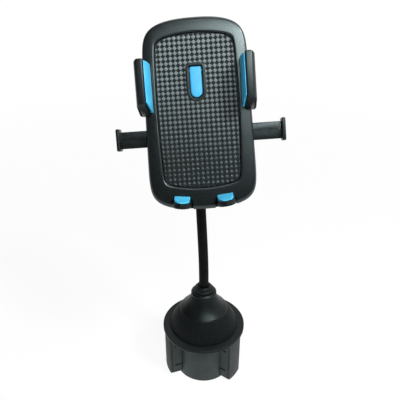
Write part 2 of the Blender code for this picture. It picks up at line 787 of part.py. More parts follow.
cover_rim = split_y + seat_gap / 2.0
frame_rim = split_y - seat_gap / 2.0
rear_cover = add("rear_cover", loft("rear_cover", [
    body_ring(rear_inside_y, wall + 1.4 * mm),
    body_ring(rear_inside_y - 1.4 * mm, wall),
    body_ring(cover_rim, wall),
    body_ring(cover_rim),
    body_ring(rear_y - 3.6 * mm),
    body_ring(rear_y - 1.5 * mm, 0.7 * mm),
    body_ring(rear_y - 0.4 * mm, 2.2 * mm),
    body_ring(rear_y, 4.2 * mm)]), satin_black, cradle)
boss = tool("ball_boss", profile_mesh("ball_boss", [
    (boss_bore, boss_back), (boss_radius, boss_back), (boss_radius, rear_y - 0.6 * mm),
    (boss_bore, rear_y - 0.6 * mm)], True), cradle)
turn_profile(boss, 32)
boss.rotation_euler = back_turn
boolean(rear_cover, boss, "UNION")

upper_screw = (body_x - 13.0 * mm, body_z - 15.0 * mm)
lower_screw = (body_x - 9.2 * mm, -body_z + 31.3 * mm)
screw_spots = []
for x, z in (upper_screw, lower_screw):
    screw_spots += [(-x, z), (x, z)]
post_floor = -15.2 * mm
well_radius = 2.8 * mm
hole_radius = 1.4 * mm
boolean(rear_cover, tool("cover_posts", rods("cover_posts", [
    (x, z, well_radius + 0.8 * mm, (cover_rim, rear_inside_y + 0.5 * mm)) for x, z in screw_spots], 12),
    cradle), "UNION")
boolean(rear_cover, tool("cover_wells", rods("cover_wells", [
    (x, z, well_radius, (post_floor, rear_y + 2.0 * mm)) for x, z in screw_spots], 12), cradle))
boolean(rear_cover, tool("cover_holes", rods("cover_holes", [
    (x, z, hole_radius, (cover_rim - 2.0 * mm, post_floor + 1.2 * mm)) for x, z in screw_spots], 10),
    cradle))

front_frame = add("front_frame", loft("front_frame", [
    body_ring(plate_back_y, wall),
    body_ring(frame_rim, wall),
    body_ring(frame_rim),
    body_ring(front_y + 3.5 * mm),
    body_ring(front_y + 1.8 * mm, 0.5 * mm),
    body_ring(front_y + 0.6 * mm, 1.8 * mm),
    body_ring(front_y, 4.2 * mm),
    pad_ring(front_y, -0.9 * mm),
    pad_ring(front_y + 0.5 * mm, -0.35 * mm),
    pad_ring(plate_front_y, -0.35 * mm)]), satin_black, cradle)
boolean(front_frame, tool("frame_posts", rods("frame_posts", [
    (x, z, 3.0 * mm, (plate_back_y - 0.4 * mm, frame_rim)) for x, z in screw_spots], 12), cradle), "UNION")
boolean(front_frame, tool("frame_holes", rods("frame_holes", [
    (x, z, hole_radius, (plate_back_y + 0.2 * mm, frame_rim + 1.3 * mm)) for x, z in screw_spots], 10),
    cradle))

screw_head = well_radius - 0.35 * mm
screw_shank = hole_radius - seat_gap
screw_seat = post_floor + seat_gap
screw_end = plate_back_y + 0.6 * mm
for number, (x, z) in enumerate(screw_spots):
    screw = turned("housing_screw_%d" % (number + 1), [
        (0.0, rear_inside_y), (screw_head, rear_inside_y), (screw_head, screw_seat),
        (screw_shank, screw_seat), (screw_shank, screw_end), (0.0, screw_end)], steel, False, cradle, 10)
    screw.rotation_euler = back_turn
    screw.location = (x, 0.0, z)

# openings in the sides for the arms and tabs
gate_x = (body_x - 5.0 * mm, body_x + 7.0 * mm)
left_gate = (-gate_x[1], -gate_x[0])
front_gate = (front_layer[0] - slide_gap, front_layer[1] + slide_gap)
rear_gate = (rear_layer[0] - slide_gap, rear_layer[1] + slide_gap)
arm_gate = (arm_low - 0.6 * mm, arm_high + 0.5 * mm)
bar_gate = (bar_low - 0.5 * mm, tab_high + 0.5 * mm)
side_gates = tool("side_gates", boxes("side_gates", [
    (left_gate, front_gate, arm_gate), (gate_x, front_gate, bar_gate),
    (gate_x, rear_gate, arm_gate), (left_gate, rear_gate, bar_gate)]), cradle)
boolean(rear_cover, side_gates)
boolean(front_frame, side_gates)

# notches in the lower edge for the feet and the plate that carries them
foot_deep = foot_top - foot_low
notch_half = foot_half * math.cos(foot_turn) + foot_deep * math.sin(foot_turn) + slide_gap
below = -body_z - 9.0 * mm
notch_y = (front_y - 2.5 * mm, frame_rim + 0.3 * mm)
notch_z = (below, foot_top + 1.1 * mm)
gate_half = foot_plate_half + 1.5 * mm
boolean(front_frame, tool("foot_notches", boxes("foot_notches", [
    ((-foot_x - notch_half, -foot_x + notch_half), notch_y, notch_z),
    ((foot_x - notch_half, foot_x + notch_half), notch_y, notch_z)]), cradle))
boolean(front_frame, tool("foot_gate", boxes("foot_gate", [
    ((-gate_half, gate_half), (foot_plate[0] - slide_gap, frame_rim + 0.3 * mm),
     (below, -body_z + 11.5 * mm))]), cradle))


def pill(grow, sides=12):
    # flat top with small corners and a round lower end
    half = pill_half + grow
    top = pill_top + grow
    low = pill_low - grow
    corner = 0.6 * mm
    loop = [(-half, top - corner), (-half + corner, top), (half - corner, top), (half, top - corner)]
    for i in range(sides + 1):
        a = -math.pi * i / sides
        loop.append((half * math.cos(a), low + half + half * math.sin(a)))
    return loop


boolean(front_frame, tool("trigger_opening", plate(
    "trigger_opening", [pill(0.55 * mm)], front_y - 0.5 * mm, plate_back_y + 1.8 * mm, True), cradle))
pin_half = pill_half + 2.8 * mm
pin_wire = 0.55 * mm
bore_half = pin_half + 0.4 * mm
bore_wide = pin_wire + seat_gap
pin_bore = tool("trigger_pin_bore", profile_mesh("trigger_pin_bore", [
    (0.0, bore_half), (bore_wide, bore_half), (bore_wide, -bore_half), (0.0, -bore_half)], False), cradle)
turn_profile(pin_bore, 12)
pin_bore.rotation_euler = (0.0, math.radians(90.0), 0.0)
pin_bore.location = trigger_pivot
boolean(front_frame, pin_bore)

pad_loop = [(x, z) for x, _, z in pad_ring(0.0)]
add("textured_pad", plate("textured_pad", [pad_loop, pill(2.85 * mm)],
                          pad_front_y, plate_front_y - seat_gap, True), pad_grey, cradle)
add("trigger_bezel", plate("trigger_bezel", [pill(2.5 * mm), pill(0.9 * mm)],
                           pad_front_y - 0.6 * mm, plate_front_y - seat_gap, True), satin_black, cradle)

button = add("trigger_button", plate("trigger_button", [pill(0.0)], front_y - 0.2 * mm,
                                     plate_back_y + 0.2 * mm, True), rubber_blue, cradle)
boolean(button, pin_bore)
set_origin(button, trigger_pivot)
trigger_pin = turned("trigger_pin", [
    (0.0, pin_half), (pin_wire, pin_half), (pin_wire, -pin_half), (0.0, -pin_half)],
    steel, False, cradle, 12)
trigger_pin.rotation_euler = (0.0, math.radians(90.0), 0.0)
trigger_pin.location = trigger_pivot
spring_z = pill_low + 4.0 * mm
coil("trigger_spring", 1.7 * mm, 0.28 * mm, 5, Vector((0.0, plate_back_y + 0.8 * mm, spring_z)),
     Vector((0.0, rear_inside_y - 0.6 * mm, spring_z)), steel, cradle)


def rack_teeth(count_low, count_high, pitch_z, up):
    # straight sided teeth with a gap centred on zero, listed from high to low
    flank = math.tan(math.radians(20.0))
    made = []
    for k in range(count_high, count_low - 1, -1):
        middle = rack_pitch * (k + 0.5)
        thick = rack_pitch / 4.0 - rack_backlash
        at_root = thick + rack_root * flank
        at_tip = thick - rack_tip * flank
        root_z = pitch_z - up * rack_root
        tip_z = pitch_z + up * rack_tip
        made += [(middle + at_root, root_z), (middle + at_tip, tip_z),
                 (middle - at_tip, tip_z), (middle - at_root, root_z - up * 0.05 * mm)]
    return made


def arm_slider(name, side, layer, rack_on_bar):
    # u runs outward on the arm's own side; the tab is at the far side
    low_pitch = gear_centre_z - gear_pitch_radius
    high_pitch = gear_centre_z + gear_pitch_radius
    end = body_x + 1.7 * mm
    plate_high = arm_high - 0.3 * mm
    plate_low = arm_low + 0.3 * mm
    if rack_on_bar:
        loop = [(end, plate_high), (strip[0], plate_high), (strip[0], low_pitch - rack_root)]
        loop += rack_teeth(-rack_count, 1, low_pitch, 1.0)
        loop += [(-rack_end, low_pitch - rack_root)]
    else:
        finger = high_pitch + 7.0 * mm
        loop = [(end, plate_high), (strip[0], plate_high), (strip[0], finger), (-rack_end, finger)]
        loop += [(-rack_end, high_pitch + rack_root)]
        loop += rack_teeth(-rack_count, 1, high_pitch, -1.0)[::-1]
        loop += [(strip[0], high_pitch + rack_root), (strip[0], bar_high - 0.4 * mm)]
        loop += [(-rack_end, bar_high - 0.4 * mm)]
    loop += [(-rack_end, tab_high), (-tab_end + 1.0 * mm, tab_high), (-tab_end + 1.0 * mm, bar_low),
             (strip[1], bar_low), (strip[1], plate_low), (end, plate_low)]
    flat = [(side * u, z) for u, z in loop]
    slider = add(name, plate(name, [flat], layer[0], layer[1], True), satin_black, cradle)

    # the jaw goes round the housing's edge and forward; its lower end slopes up to the front
    back = layer[1] - 0.25 * mm
    bend = front_y - 0.6 * mm
    jaw = [(body_x + 0.5 * mm, back), (body_x + 2.7 * mm, back), (body_x + 2.7 * mm, bend),
           (body_x + 2.3 * mm, jaw_front + 2.4 * mm), (body_x + 0.7 * mm, jaw_front),
           (body_x - 4.6 * mm, jaw_front), (body_x - 4.8 * mm, bend - 0.3 * mm),
           (body_x + 0.5 * mm, bend)]
    jaw_loop = [(side * u, y) for u, y in jaw]
    jaw_low = arm_low - 1.0 * mm
    hook = tool(name + "_hook", plate(name + "_hook", [jaw_loop], jaw_low, arm_high), cradle)
    slope_low = jaw_low - 1.0 * mm
    slope_back = bend - 0.4 * mm
    slope_front = jaw_front - 3.7 * mm
    slope = tool(name + "_slope", plate(name + "_slope", [[
        (slope_back, slope_low), (slope_front, slope_low), (slope_front, slope_low + 8.0 * mm)]],
        -body_x - 17.0 * mm, body_x + 17.0 * mm), cradle)
    slope.data.transform(Matrix(((0, 0, 1, 0), (1, 0, 0, 0), (0, 1, 0, 0), (0, 0, 0, 1))))
    boolean(hook, slope)
    soften(hook, 0.8 * mm, 2)
    boolean(slider, hook, "UNION")

    middle = (layer[0] + layer[1]) / 2.0
    across = sorted((side * -tab_end, side * (-tab_end + flange_thick)))
    peg = sorted((side * strip[0], side * (strip[0] + 2.5 * mm)))
    flange = tool(name + "_flange", boxes(name + "_flange", [
        (tuple(across), (middle - 4.6 * mm, middle + 4.6 * mm),
         (bar_low - flange_rise[0], tab_high + flange_rise[1])),
        (tuple(peg), (layer[0] + 0.1 * mm, layer[1] - 0.1 * mm),
         (bar_low - 6.4 * mm, bar_low + 0.5 * mm))]), cradle)
    soften(flange, 0.6 * mm, 2)
    boolean(slider, flange, "UNION")

    tab_z = (bar_low + tab_high) / 2.0
    tip = -body_x - 7.1 * mm
    barb = tip - 4.0 * mm
    tail = barb - 5.0 * mm
    wide = 2.1 * mm
    thin = 0.8 * mm
    arrow = [(tip, 0.0), (barb, wide), (barb, thin), (tail, thin),
             (tail, -thin), (barb, -thin), (barb, -wide)]
    arrow_loop = [(side * u, tab_z + z) for u, z in arrow]
    pressed = (layer[0] - 1.0 * mm, layer[0] + 0.6 * mm)
    boolean(slider, tool(name + "_arrow", plate(name + "_arrow", [arrow_loop], *pressed, True), cradle))
    boolean(slider, tool(name + "_dimple", rods(name + "_dimple", [
        (side * (tip + 3.2 * mm), tab_z, 0.9 * mm, pressed)], 12), cradle))

    grip = [(body_x - 5.1 * mm, bend - 0.8 * mm), (body_x - 4.9 * mm, jaw_front + 0.8 * mm),
            (body_x - 5.1 * mm, jaw_front + 0.3 * mm), (body_x - 5.8 * mm, jaw_front + 0.9 * mm),
            (body_x - 6.3 * mm, bend - 0.8 * mm)]
    grip_loop = [(side * u, y) for u, y in grip]
    grip_mesh = plate(name + "_pad", [grip_loop], jaw_low + 1.4 * mm, arm_high - 1.2 * mm)
    blue = add(name + "_pad", grip_mesh, rubber_blue, cradle)
    higher = tool(name + "_pad_slope", slope.data.copy(), cradle)
    higher.location = (0.0, 0.0, 1.6 * mm)
    boolean(blue, higher)


arm_slider("left_arm", -1.0, front_layer, True)
arm_slider("right_arm", 1.0, rear_layer, False)


def gear_outline():
    # involute flanks from the base circle out, straight roots below it
    base = gear_pitch_radius * math.cos(math.radians(20.0))
    tip = gear_tip
    root = gear_pitch_radius - 0.8 * mm

    def involute(radius):
        a = math.acos(min(1.0, base / radius))
        return math.tan(a) - a

    half_pitch = math.pi / (2.0 * gear_teeth) - rack_backlash / gear_pitch_radius

    def half_angle(radius):
        return half_pitch + involute(gear_pitch_radius) - involute(max(radius, base))

    radii = [root, base, (base + tip) / 2.0, tip]
    loop = []
    for k in range(gear_teeth):
        middle = math.radians(90.0) + 2.0 * math.pi * k / gear_teeth
        for radius in radii:
            a = middle - half_angle(radius)
            loop.append((radius * math.cos(a), gear_centre_z + radius * math.sin(a)))
        for radius in reversed(radii):
            a = middle + half_angle(radius)
            loop.append((radius * math.cos(a), gear_centre_z + radius * math.sin(a)))
    return loop


axle_hole = [(x, gear_centre_z + z) for x, z in circle(axle_radius + 0.35 * mm, 16)]
gear_mesh = plate("pinion", [gear_outline(), axle_hole],
                  front_layer[0] + 0.05 * mm, rear_layer[1] - 0.05 * mm, True)
pinion = add("pinion", gear_mesh, nylon_white, cradle)
set_origin(pinion, Vector((0.0, 0.0, gear_centre_z)))
axle_back = rear_inside_y - seat_gap
axle_front = plate_back_y + seat_gap
axle = turned("pinion_axle", [
    (0.0, axle_back), (axle_radius, axle_back), (axle_radius, axle_front), (0.0, axle_front)],
    steel, False, cradle, 16)
axle.rotation_euler = back_turn
axle.location = (0.0, 0.0, gear_centre_z)

spring_end = strip[0] - 0.6 * mm
closing_z = bar_low - 3.4 * mm
closing_y = (front_layer[1] + rear_layer[0]) / 2.0
coil("closing_spring", 2.1 * mm, 0.35 * mm, 8, Vector((-spring_end, closing_y, closing_z)),
     Vector((spring_end, closing_y, closing_z)), steel, cradle)


def foot_outline(back_y, front, half):
    # straight sides and a half oval front
    bend_y = front + 7.0 * mm
    loop = [(-half, back_y), (-half, bend_y)]
    for i in range(1, 12):
        a = math.pi * i / 12
        loop.append((-half * math.cos(a), bend_y - 7.0 * mm * math.sin(a)))
    loop += [(half, bend_y), (half, back_y)]
    return loop


carrier = add("foot_carrier", boxes("foot_carrier", [
    ((-foot_plate_half, foot_plate_half), foot_plate, foot_plate_rows)]), satin_black, cradle)
for side, label in ((-1.0, "left"), (1.0, "right")):
    lean = Matrix.Translation((side * foot_x, 0.0, foot_top)) @ Matrix.Rotation(-side * foot_turn, 4, "Y")
    shelf = tool(label + "_shelf", plate(label + "_shelf", [
        foot_outline(foot_plate[1] - 0.3 * mm, foot_front_y, foot_half)], foot_low - foot_top, 0.0), cradle)
    shelf.data.transform(lean)
    boolean(carrier, shelf, "UNION")
    lip_from = foot_front_y + 3.8 * mm
    outer = foot_outline(lip_from, foot_front_y + 0.15 * mm, foot_half - 0.15 * mm)
    inside = foot_outline(lip_from, foot_front_y + lip_thick, foot_half - lip_thick)
    near = lip_from + 1.0 * mm
    rim = [p for p in outer if p[1] < near] + [p for p in reversed(inside) if p[1] < near]
    lip = tool(label + "_lip", plate(label + "_lip", [rim], -0.4 * mm, lip_rise), cradle)
    lip.data.transform(lean)
    boolean(carrier, lip, "UNION")
    inset = lip_thick + seat_gap
    sole_back = front_y - 0.4 * mm
    sole_front = foot_front_y + inset
    sole = foot_outline(sole_back, sole_front, foot_half - inset)
    sole_mesh = plate(label + "_foot_pad", [sole], seat_gap, sole_rise)
    blue = add(label + "_foot_pad", sole_mesh, rubber_blue, cradle)
    blue.data.transform(lean)
    # its top slopes down to the front
    fall = (sole_rise - sole_low) / (sole_back - sole_front)
    scoop = tool(label + "_scoop", plate(label + "_scoop", [[
        (sole_back, sole_rise), (sole_front - 2.0 * mm, sole_low - 2.0 * mm * fall),
        (sole_front - 2.0 * mm, sole_rise + 2.0 * mm), (sole_back, sole_rise + 2.0 * mm)]],
        -foot_half - 2.0 * mm, foot_half + 2.0 * mm), cradle)
    scoop.data.transform(lean @ Matrix(((0, 0, 1, 0), (1, 0, 0, 0), (0, 1, 0, 0), (0, 0, 0, 1))))
    boolean(blue, scoop)
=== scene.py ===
import json
import math

import bmesh
import bpy
import numpy as np
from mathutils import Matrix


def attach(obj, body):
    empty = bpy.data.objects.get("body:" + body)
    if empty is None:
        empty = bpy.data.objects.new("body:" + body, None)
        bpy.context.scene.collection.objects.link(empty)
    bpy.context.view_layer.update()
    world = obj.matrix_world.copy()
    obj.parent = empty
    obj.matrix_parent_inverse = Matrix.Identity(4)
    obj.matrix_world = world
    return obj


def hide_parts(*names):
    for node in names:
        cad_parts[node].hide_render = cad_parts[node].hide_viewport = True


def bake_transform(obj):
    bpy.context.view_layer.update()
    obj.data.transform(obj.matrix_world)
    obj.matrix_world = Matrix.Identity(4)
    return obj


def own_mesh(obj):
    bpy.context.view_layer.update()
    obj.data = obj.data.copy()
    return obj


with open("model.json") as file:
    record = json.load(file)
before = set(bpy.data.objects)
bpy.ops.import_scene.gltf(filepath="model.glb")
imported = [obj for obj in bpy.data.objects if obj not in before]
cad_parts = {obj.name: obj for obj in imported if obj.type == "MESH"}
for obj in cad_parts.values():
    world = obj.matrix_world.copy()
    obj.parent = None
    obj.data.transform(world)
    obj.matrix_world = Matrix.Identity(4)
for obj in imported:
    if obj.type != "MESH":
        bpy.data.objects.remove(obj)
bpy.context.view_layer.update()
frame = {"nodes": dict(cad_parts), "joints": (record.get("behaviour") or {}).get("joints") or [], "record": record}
mm = 0.001
weldDistance = 0.0000005
joints = {joint["name"]: joint for joint in frame["joints"]}

# the cradle's right, back and up directions come from its joints; its zero is the ball
ballCentre = np.array(joints["ball_tilt"]["pos_m"])
cradleAxes = np.stack([
    -np.array(joints["left_arm_slide"]["axis"]),
    np.array(joints["cradle_spin"]["axis"]),
    -np.array(joints["feet_slide"]["axis"])])


def onCradle(points):
    # millimetres right, back and up from the ball, to metres in the frame
    return ballCentre + (points * mm) @ cradleAxes


def onBase(points):
    return points * mm


def gridQuads(rows, cols, wrapRows=False, wrapCols=True):
    # the quads between neighbouring rows and columns of a grid of points
    r, c = np.meshgrid(np.arange(rows if wrapRows else rows - 1),
                       np.arange(cols if wrapCols else cols - 1), indexing="ij")
    rNext = (r + 1) % rows
    cNext = (c + 1) % cols
    quads = np.stack([r * cols + c, r * cols + cNext, rNext * cols + cNext, rNext * cols + c], -1)
    return quads.reshape(-1, 4)


def skin(rings, wrapRows=False):
    # rows of rings joined into a skin; unless the rows wrap, the end rings are filled flat
    rows, cols = rings.shape[:2]
    faces = gridQuads(rows, cols, wrapRows).tolist()
    if not wrapRows:
        faces.append(list(range(cols)))
        faces.append(list(range((rows - 1) * cols, rows * cols)))
    return rings.reshape(-1, 3), faces


def roundCorners(corners, radius, per=5):
    # each corner becomes a quadratic curve that leaves its two sides a radius away from it
    corner = np.asarray(corners, float)
    toBefore = np.roll(corner, 1, 0) - corner
    toAfter = np.roll(corner, -1, 0) - corner
    before = np.linalg.norm(toBefore, axis=1)
    after = np.linalg.norm(toAfter, axis=1)
    reach = np.minimum(np.broadcast_to(radius, before.shape), 0.48 * np.minimum(before, after))
    a = (corner + toBefore * (reach / before)[:, None])[:, None]
    b = (corner + toAfter * (reach / after)[:, None])[:, None]
    t = np.linspace(0.0, 1.0, per)[None, :, None]
    return ((1 - t) ** 2 * a + 2 * t * (1 - t) * corner[:, None] + t ** 2 * b).reshape(-1, 2)


def outward(outline):
    # unit normals of a closed outline, turned away from its inside
    side = np.roll(outline, -1, 0) - np.roll(outline, 1, 0)
    area = np.sum(outline[:, 0] * np.roll(outline[:, 1], -1) - outline[:, 1] * np.roll(outline[:, 0], -1))
    normal = np.stack([side[:, 1], -side[:, 0]], 1) * np.sign(area)
    return normal / np.linalg.norm(normal, axis=1)[:, None]


def softPrism(outline, low, high, edge, steps=5):
    # the outline carried from low to high, drawn in along its normals in a quarter round at
    # both ends; low and high may be one number or one for each point of the outline
    turn = np.linspace(0.0, math.pi / 2, steps)
    pull = edge * (1 - np.sin(turn))
    rise = edge * (1 - np.cos(turn))
    count = len(outline)
    lowEnd = np.broadcast_to(low, count)[None] + rise[:, None]
    highEnd = np.broadcast_to(high, count)[None] - rise[::-1, None]
    level = np.concatenate([lowEnd, highEnd])
    pulls = np.concatenate([pull, pull[::-1]])[:, None, None]
    ring = outline[None] - outward(outline)[None] * pulls
    return np.concatenate([ring, level[:, :, None]], 2)


def upright(rings):
    # outline seen from the front, thick from front to back
    return rings[..., [0, 2, 1]]


def turnedRings(profile, steps, swell=None):
    # radius and height carried round the z axis; swell adds to the radius over turn and height
    turn = np.arange(steps) * (2 * math.pi / steps)
    radius = np.repeat(profile[:, :1], steps, 1)
    height = np.repeat(profile[:, 1:], steps, 1)
    if swell is not None:
        radius = radius + swell(turn[None], height, radius)
    return np.stack([radius * np.cos(turn), radius * np.sin(turn), height], -1)


def smooth(value, low, high):
    t = np.clip((value - low) / (high - low), 0, 1)
    return t * t * (3 - 2 * t)


def boxMesh(low, high):
    # a plain box, for cutting only
    corner = np.stack(np.meshgrid([0, 1], [0, 1], [0, 1], indexing="ij"), -1).reshape(-1, 3)
    points = np.array(low) + corner * (np.array(high) - np.array(low))
    return points, [[0, 1, 3, 2], [4, 6, 7, 5], [0, 4, 5, 1], [2, 3, 7, 6], [0, 2, 6, 4], [1, 5, 7, 3]]


def newPiece(name, points, faces, finish=None, sharp=38.0, values=None):
    mesh = bpy.data.meshes.new(name)
    mesh.from_pydata(points.tolist(), [], faces)
    if values is not None:
        layer = mesh.attributes.new("relief", "FLOAT", "POINT")
        layer.data.foreach_set("value", values.astype(np.float32))
    bm = bmesh.new()
    bm.from_mesh(mesh)
    bmesh.ops.remove_doubles(bm, verts=bm.verts, dist=weldDistance)
    wide = [face for face in bm.faces if len(face.verts) > 4]
    bmesh.ops.triangulate(bm, faces=wide, ngon_method="EAR_CLIP")
    bmesh.ops.recalc_face_normals(bm, faces=bm.faces)
    if bm.calc_volume(signed=True) < 0:
        bmesh.ops.reverse_faces(bm, faces=bm.faces)
    bm.to_mesh(mesh)
    bm.free()
    if finish is not None:
        mesh.materials.append(finish)
    mesh.shade_smooth()
    mesh.set_sharp_from_angle(angle=math.radians(sharp))
    piece = bpy.data.objects.new(name, mesh)
    bpy.context.scene.collection.objects.link(piece)
    return piece


def cutWith(piece, cutters, operation="DIFFERENCE", sharp=38.0):
    # each cutter is points and faces already in the frame; the result replaces the piece's mesh
    for number, (points, faces) in enumerate(cutters):
        cutter = newPiece("%s_cut_%d" % (piece.name, number), points, faces)
        step = piece.modifiers.new("cut", "BOOLEAN")
        step.operation = operation
        step.solver = "MANIFOLD"
        step.object = cutter
        graph = bpy.context.evaluated_depsgraph_get()
        made = bpy.data.meshes.new_from_object(piece.evaluated_get(graph))
        piece.modifiers.clear()
        piece.data = made
        bpy.data.objects.remove(cutter)
    made.name = piece.name
    made.shade_smooth()
    made.set_sharp_from_angle(angle=math.radians(sharp))


def wear(piece, body, slotName, *nodes):
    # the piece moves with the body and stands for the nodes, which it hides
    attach(piece, body)
    if nodes:
        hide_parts(*nodes)


# finishes

def node(tree, kind, inputs=None, **settings):
    made = tree.nodes.new(kind)
    for key, value in settings.items():
        setattr(made, key, value)
    for socket, value in (inputs or {}).items():
        if isinstance(value, bpy.types.NodeSocket):
            tree.links.new(value, made.inputs[socket])
        else:
            made.inputs[socket].default_value = value
    return made


def tones(tree, factor, dark, light, low=0.35, high=0.65):
    ramp = node(tree, "ShaderNodeValToRGB", {"Fac": factor})
    ramp.color_ramp.elements[0].position = low
    ramp.color_ramp.elements[0].color = (*dark, 1.0)
    ramp.color_ramp.elements[1].position = high
    ramp.color_ramp.elements[1].color = (*light, 1.0)
    return ramp.outputs["Color"]


grainForm = {"low": 0.3, "high": 0.7, "depth": 0.00008}


def mouldedFinish(name, look):
    # cloudy colour and gloss over a fine moulded grain, all in object space
    made = bpy.data.materials.new(name)
    made.use_nodes = True
    tree = made.node_tree
    shader = tree.nodes["Principled BSDF"]
    place = node(tree, "ShaderNodeTexCoord").outputs["Object"]
    if "stretch" in look:
        stretched = node(tree, "ShaderNodeMapping", {"Vector": place, "Scale": look["stretch"]})
        place = stretched.outputs["Vector"]
    cloud = node(tree, "ShaderNodeTexNoise", {"Vector": place, "Scale": look["cloud"], "Detail": 4.0})
    grain = node(tree, "ShaderNodeTexNoise", {"Vector": place, "Scale": look["grain"], "Detail": 2.0})
    shader.inputs["Metallic"].default_value = look.get("metallic", 0.0)
    shader.inputs["Specular IOR Level"].default_value = look.get("specular", 0.5)
    shader.inputs["Specular Tint"].default_value = (*look.get("tint", (1.0, 1.0, 1.0)), 1.0)
    colour = tones(tree, cloud.outputs["Fac"], look["dark"], look["light"])
    tree.links.new(colour, shader.inputs["Base Color"])
    rough = node(tree, "ShaderNodeMapRange", {
        "Value": grain.outputs["Fac"], "From Min": grainForm["low"], "From Max": grainForm["high"],
        "To Min": look["rough"][0], "To Max": look["rough"][1]})
    tree.links.new(rough.outputs["Result"], shader.inputs["Roughness"])
    bump = node(tree, "ShaderNodeBump", {
        "Height": grain.outputs["Fac"], "Strength": look["bump"], "Distance": grainForm["depth"]})
    tree.links.new(bump.outputs["Normal"], shader.inputs["Normal"])
    return made


def padFinish(name, look):
    # the pad's two tones follow the relief stored on its points: the raised diamonds are painted lighter, a
    # painted highlight, and the recesses darker, painted shade; random mottle makes it uneven, and the painted
    # light fades downwards
    made = mouldedFinish(name, look)
    tree = made.node_tree
    shader = tree.nodes["Principled BSDF"]
    relief = node(tree, "ShaderNodeAttribute", attribute_name="relief").outputs["Fac"]
    place = node(tree, "ShaderNodeTexCoord").outputs["Object"]
    dust = node(tree, "ShaderNodeTexNoise", {"Vector": place, "Scale": look["dust"], "Detail": 3.0})
    uneven = node(tree, "ShaderNodeMath", {
        0: dust.outputs["Fac"], 1: look["uneven"][0], 2: look["uneven"][1]}, operation="MULTIPLY_ADD")
    # painted light: the tone is lighter at the top of the pad and darker towards its bottom, as light falling from
    # above makes it
    level = node(tree, "ShaderNodeSeparateXYZ", {"Vector": place}).outputs["Z"]
    paintedFade = node(tree, "ShaderNodeMapRange", {
        "Value": level, "From Min": look["paintedLightFade"][0], "From Max": look["paintedLightFade"][1],
        "To Min": look["paintedLightFade"][2], "To Max": look["paintedLightFade"][3]})
    # painted highlight and shade: raised diamonds lighter, recesses darker, with random mottle added
    paintedReliefAndMottle = node(tree, "ShaderNodeMath", {0: relief, 1: uneven.outputs["Value"]}, operation="ADD")
    height = node(tree, "ShaderNodeMath", {0: paintedReliefAndMottle.outputs["Value"], 1: paintedFade.outputs["Result"]},
                  operation="MULTIPLY")
    tree.links.new(tones(tree, height.outputs["Value"], look["dark"], look["light"], *look["toneSpan"]),
                   shader.inputs["Base Color"])
    shine = node(tree, "ShaderNodeMapRange", {
        "Value": relief, "From Min": look["shineSpan"][0], "From Max": look["shineSpan"][1],
        "To Min": look["shine"][0], "To Max": look["shine"][1]})
    tree.links.new(shine.outputs["Result"], shader.inputs["Specular IOR Level"])
    return made


finishes = {
    "satin_black": mouldedFinish("satinBlack", {
        "dark": (0.003, 0.0036, 0.0038), "light": (0.0046, 0.0054, 0.0056), "cloud": 70.0, "grain": 2600.0,
        "rough": (0.36, 0.48), "bump": 0.08, "specular": 0.17, "tint": (0.8, 1.0, 1.02)}),
    "housing_black": mouldedFinish("housingBlack", {
        "dark": (0.002, 0.0026, 0.0029), "light": (0.0034, 0.0042, 0.0045), "cloud": 45.0, "grain": 1900.0,
        "rough": (0.27, 0.34), "bump": 0.03, "specular": 0.7, "tint": (0.8, 1.0, 1.02)}),
    "inner_black": mouldedFinish("innerBlack", {
        "dark": (0.04, 0.041, 0.042), "light": (0.055, 0.056, 0.058), "cloud": 60.0, "grain": 2200.0,
        "rough": (0.45, 0.6), "bump": 0.2}),
    "sleeve_black": mouldedFinish("sleeveBlack", {
        "dark": (0.002, 0.0022, 0.0024), "light": (0.0034, 0.0037, 0.004), "cloud": 120.0, "grain": 3000.0,
        "rough": (0.5, 0.64), "bump": 0.16, "specular": 0.07}),
    "shoe_black": mouldedFinish("shoeBlack", {
        "dark": (0.02, 0.024, 0.025), "light": (0.032, 0.037, 0.038), "cloud": 90.0, "grain": 2400.0,
        "rough": (0.55, 0.7), "bump": 0.25, "specular": 0.3}),
    # the raised diamonds are painted lighter than the recesses, a painted highlight on them and painted shade in
    # the recesses; the last numbers fade that painted light towards the bottom
    "pad_grey": padFinish("padGrey", {
        "dark": (0.014, 0.0175, 0.0182), "light": (0.165, 0.195, 0.2), "cloud": 80.0, "grain": 2600.0,
        "dust": 380.0, "toneSpan": (0.2, 0.85), "rough": (0.36, 0.46), "bump": 0.12,
        "tint": (0.84, 1.0, 1.01), "shine": (0.1, 0.4), "shineSpan": (0.3, 0.9), "uneven": (0.3, -0.15),
        "paintedLightFade": (0.222, 0.305, 0.08, 1.0)}),
    "rubber_blue": mouldedFinish("rubberBlue", {
        "dark": (0.06, 0.47, 0.76), "light": (0.075, 0.53, 0.83), "cloud": 110.0, "grain": 2600.0,
        "rough": (0.42, 0.56), "bump": 0.12}),
    "button_blue": mouldedFinish("buttonBlue", {
        "dark": (0.038, 0.355, 0.65), "light": (0.045, 0.395, 0.7), "cloud": 140.0, "grain": 3000.0,
        "rough": (0.4, 0.52), "bump": 0.08}),
    "steel": mouldedFinish("steelPlain", {
        "dark": (0.5, 0.5, 0.51), "light": (0.62, 0.62, 0.63), "cloud": 160.0, "grain": 900.0,
        "stretch": (1.0, 1.0, 9.0), "rough": (0.24, 0.42), "bump": 0.06, "metallic": 1.0}),
    "nylon_white": mouldedFinish("nylonWhite", {
        "dark": (0.68, 0.68, 0.64), "light": (0.78, 0.78, 0.75), "cloud": 130.0, "grain": 1800.0,
        "rough": (0.38, 0.52), "bump": 0.1})}
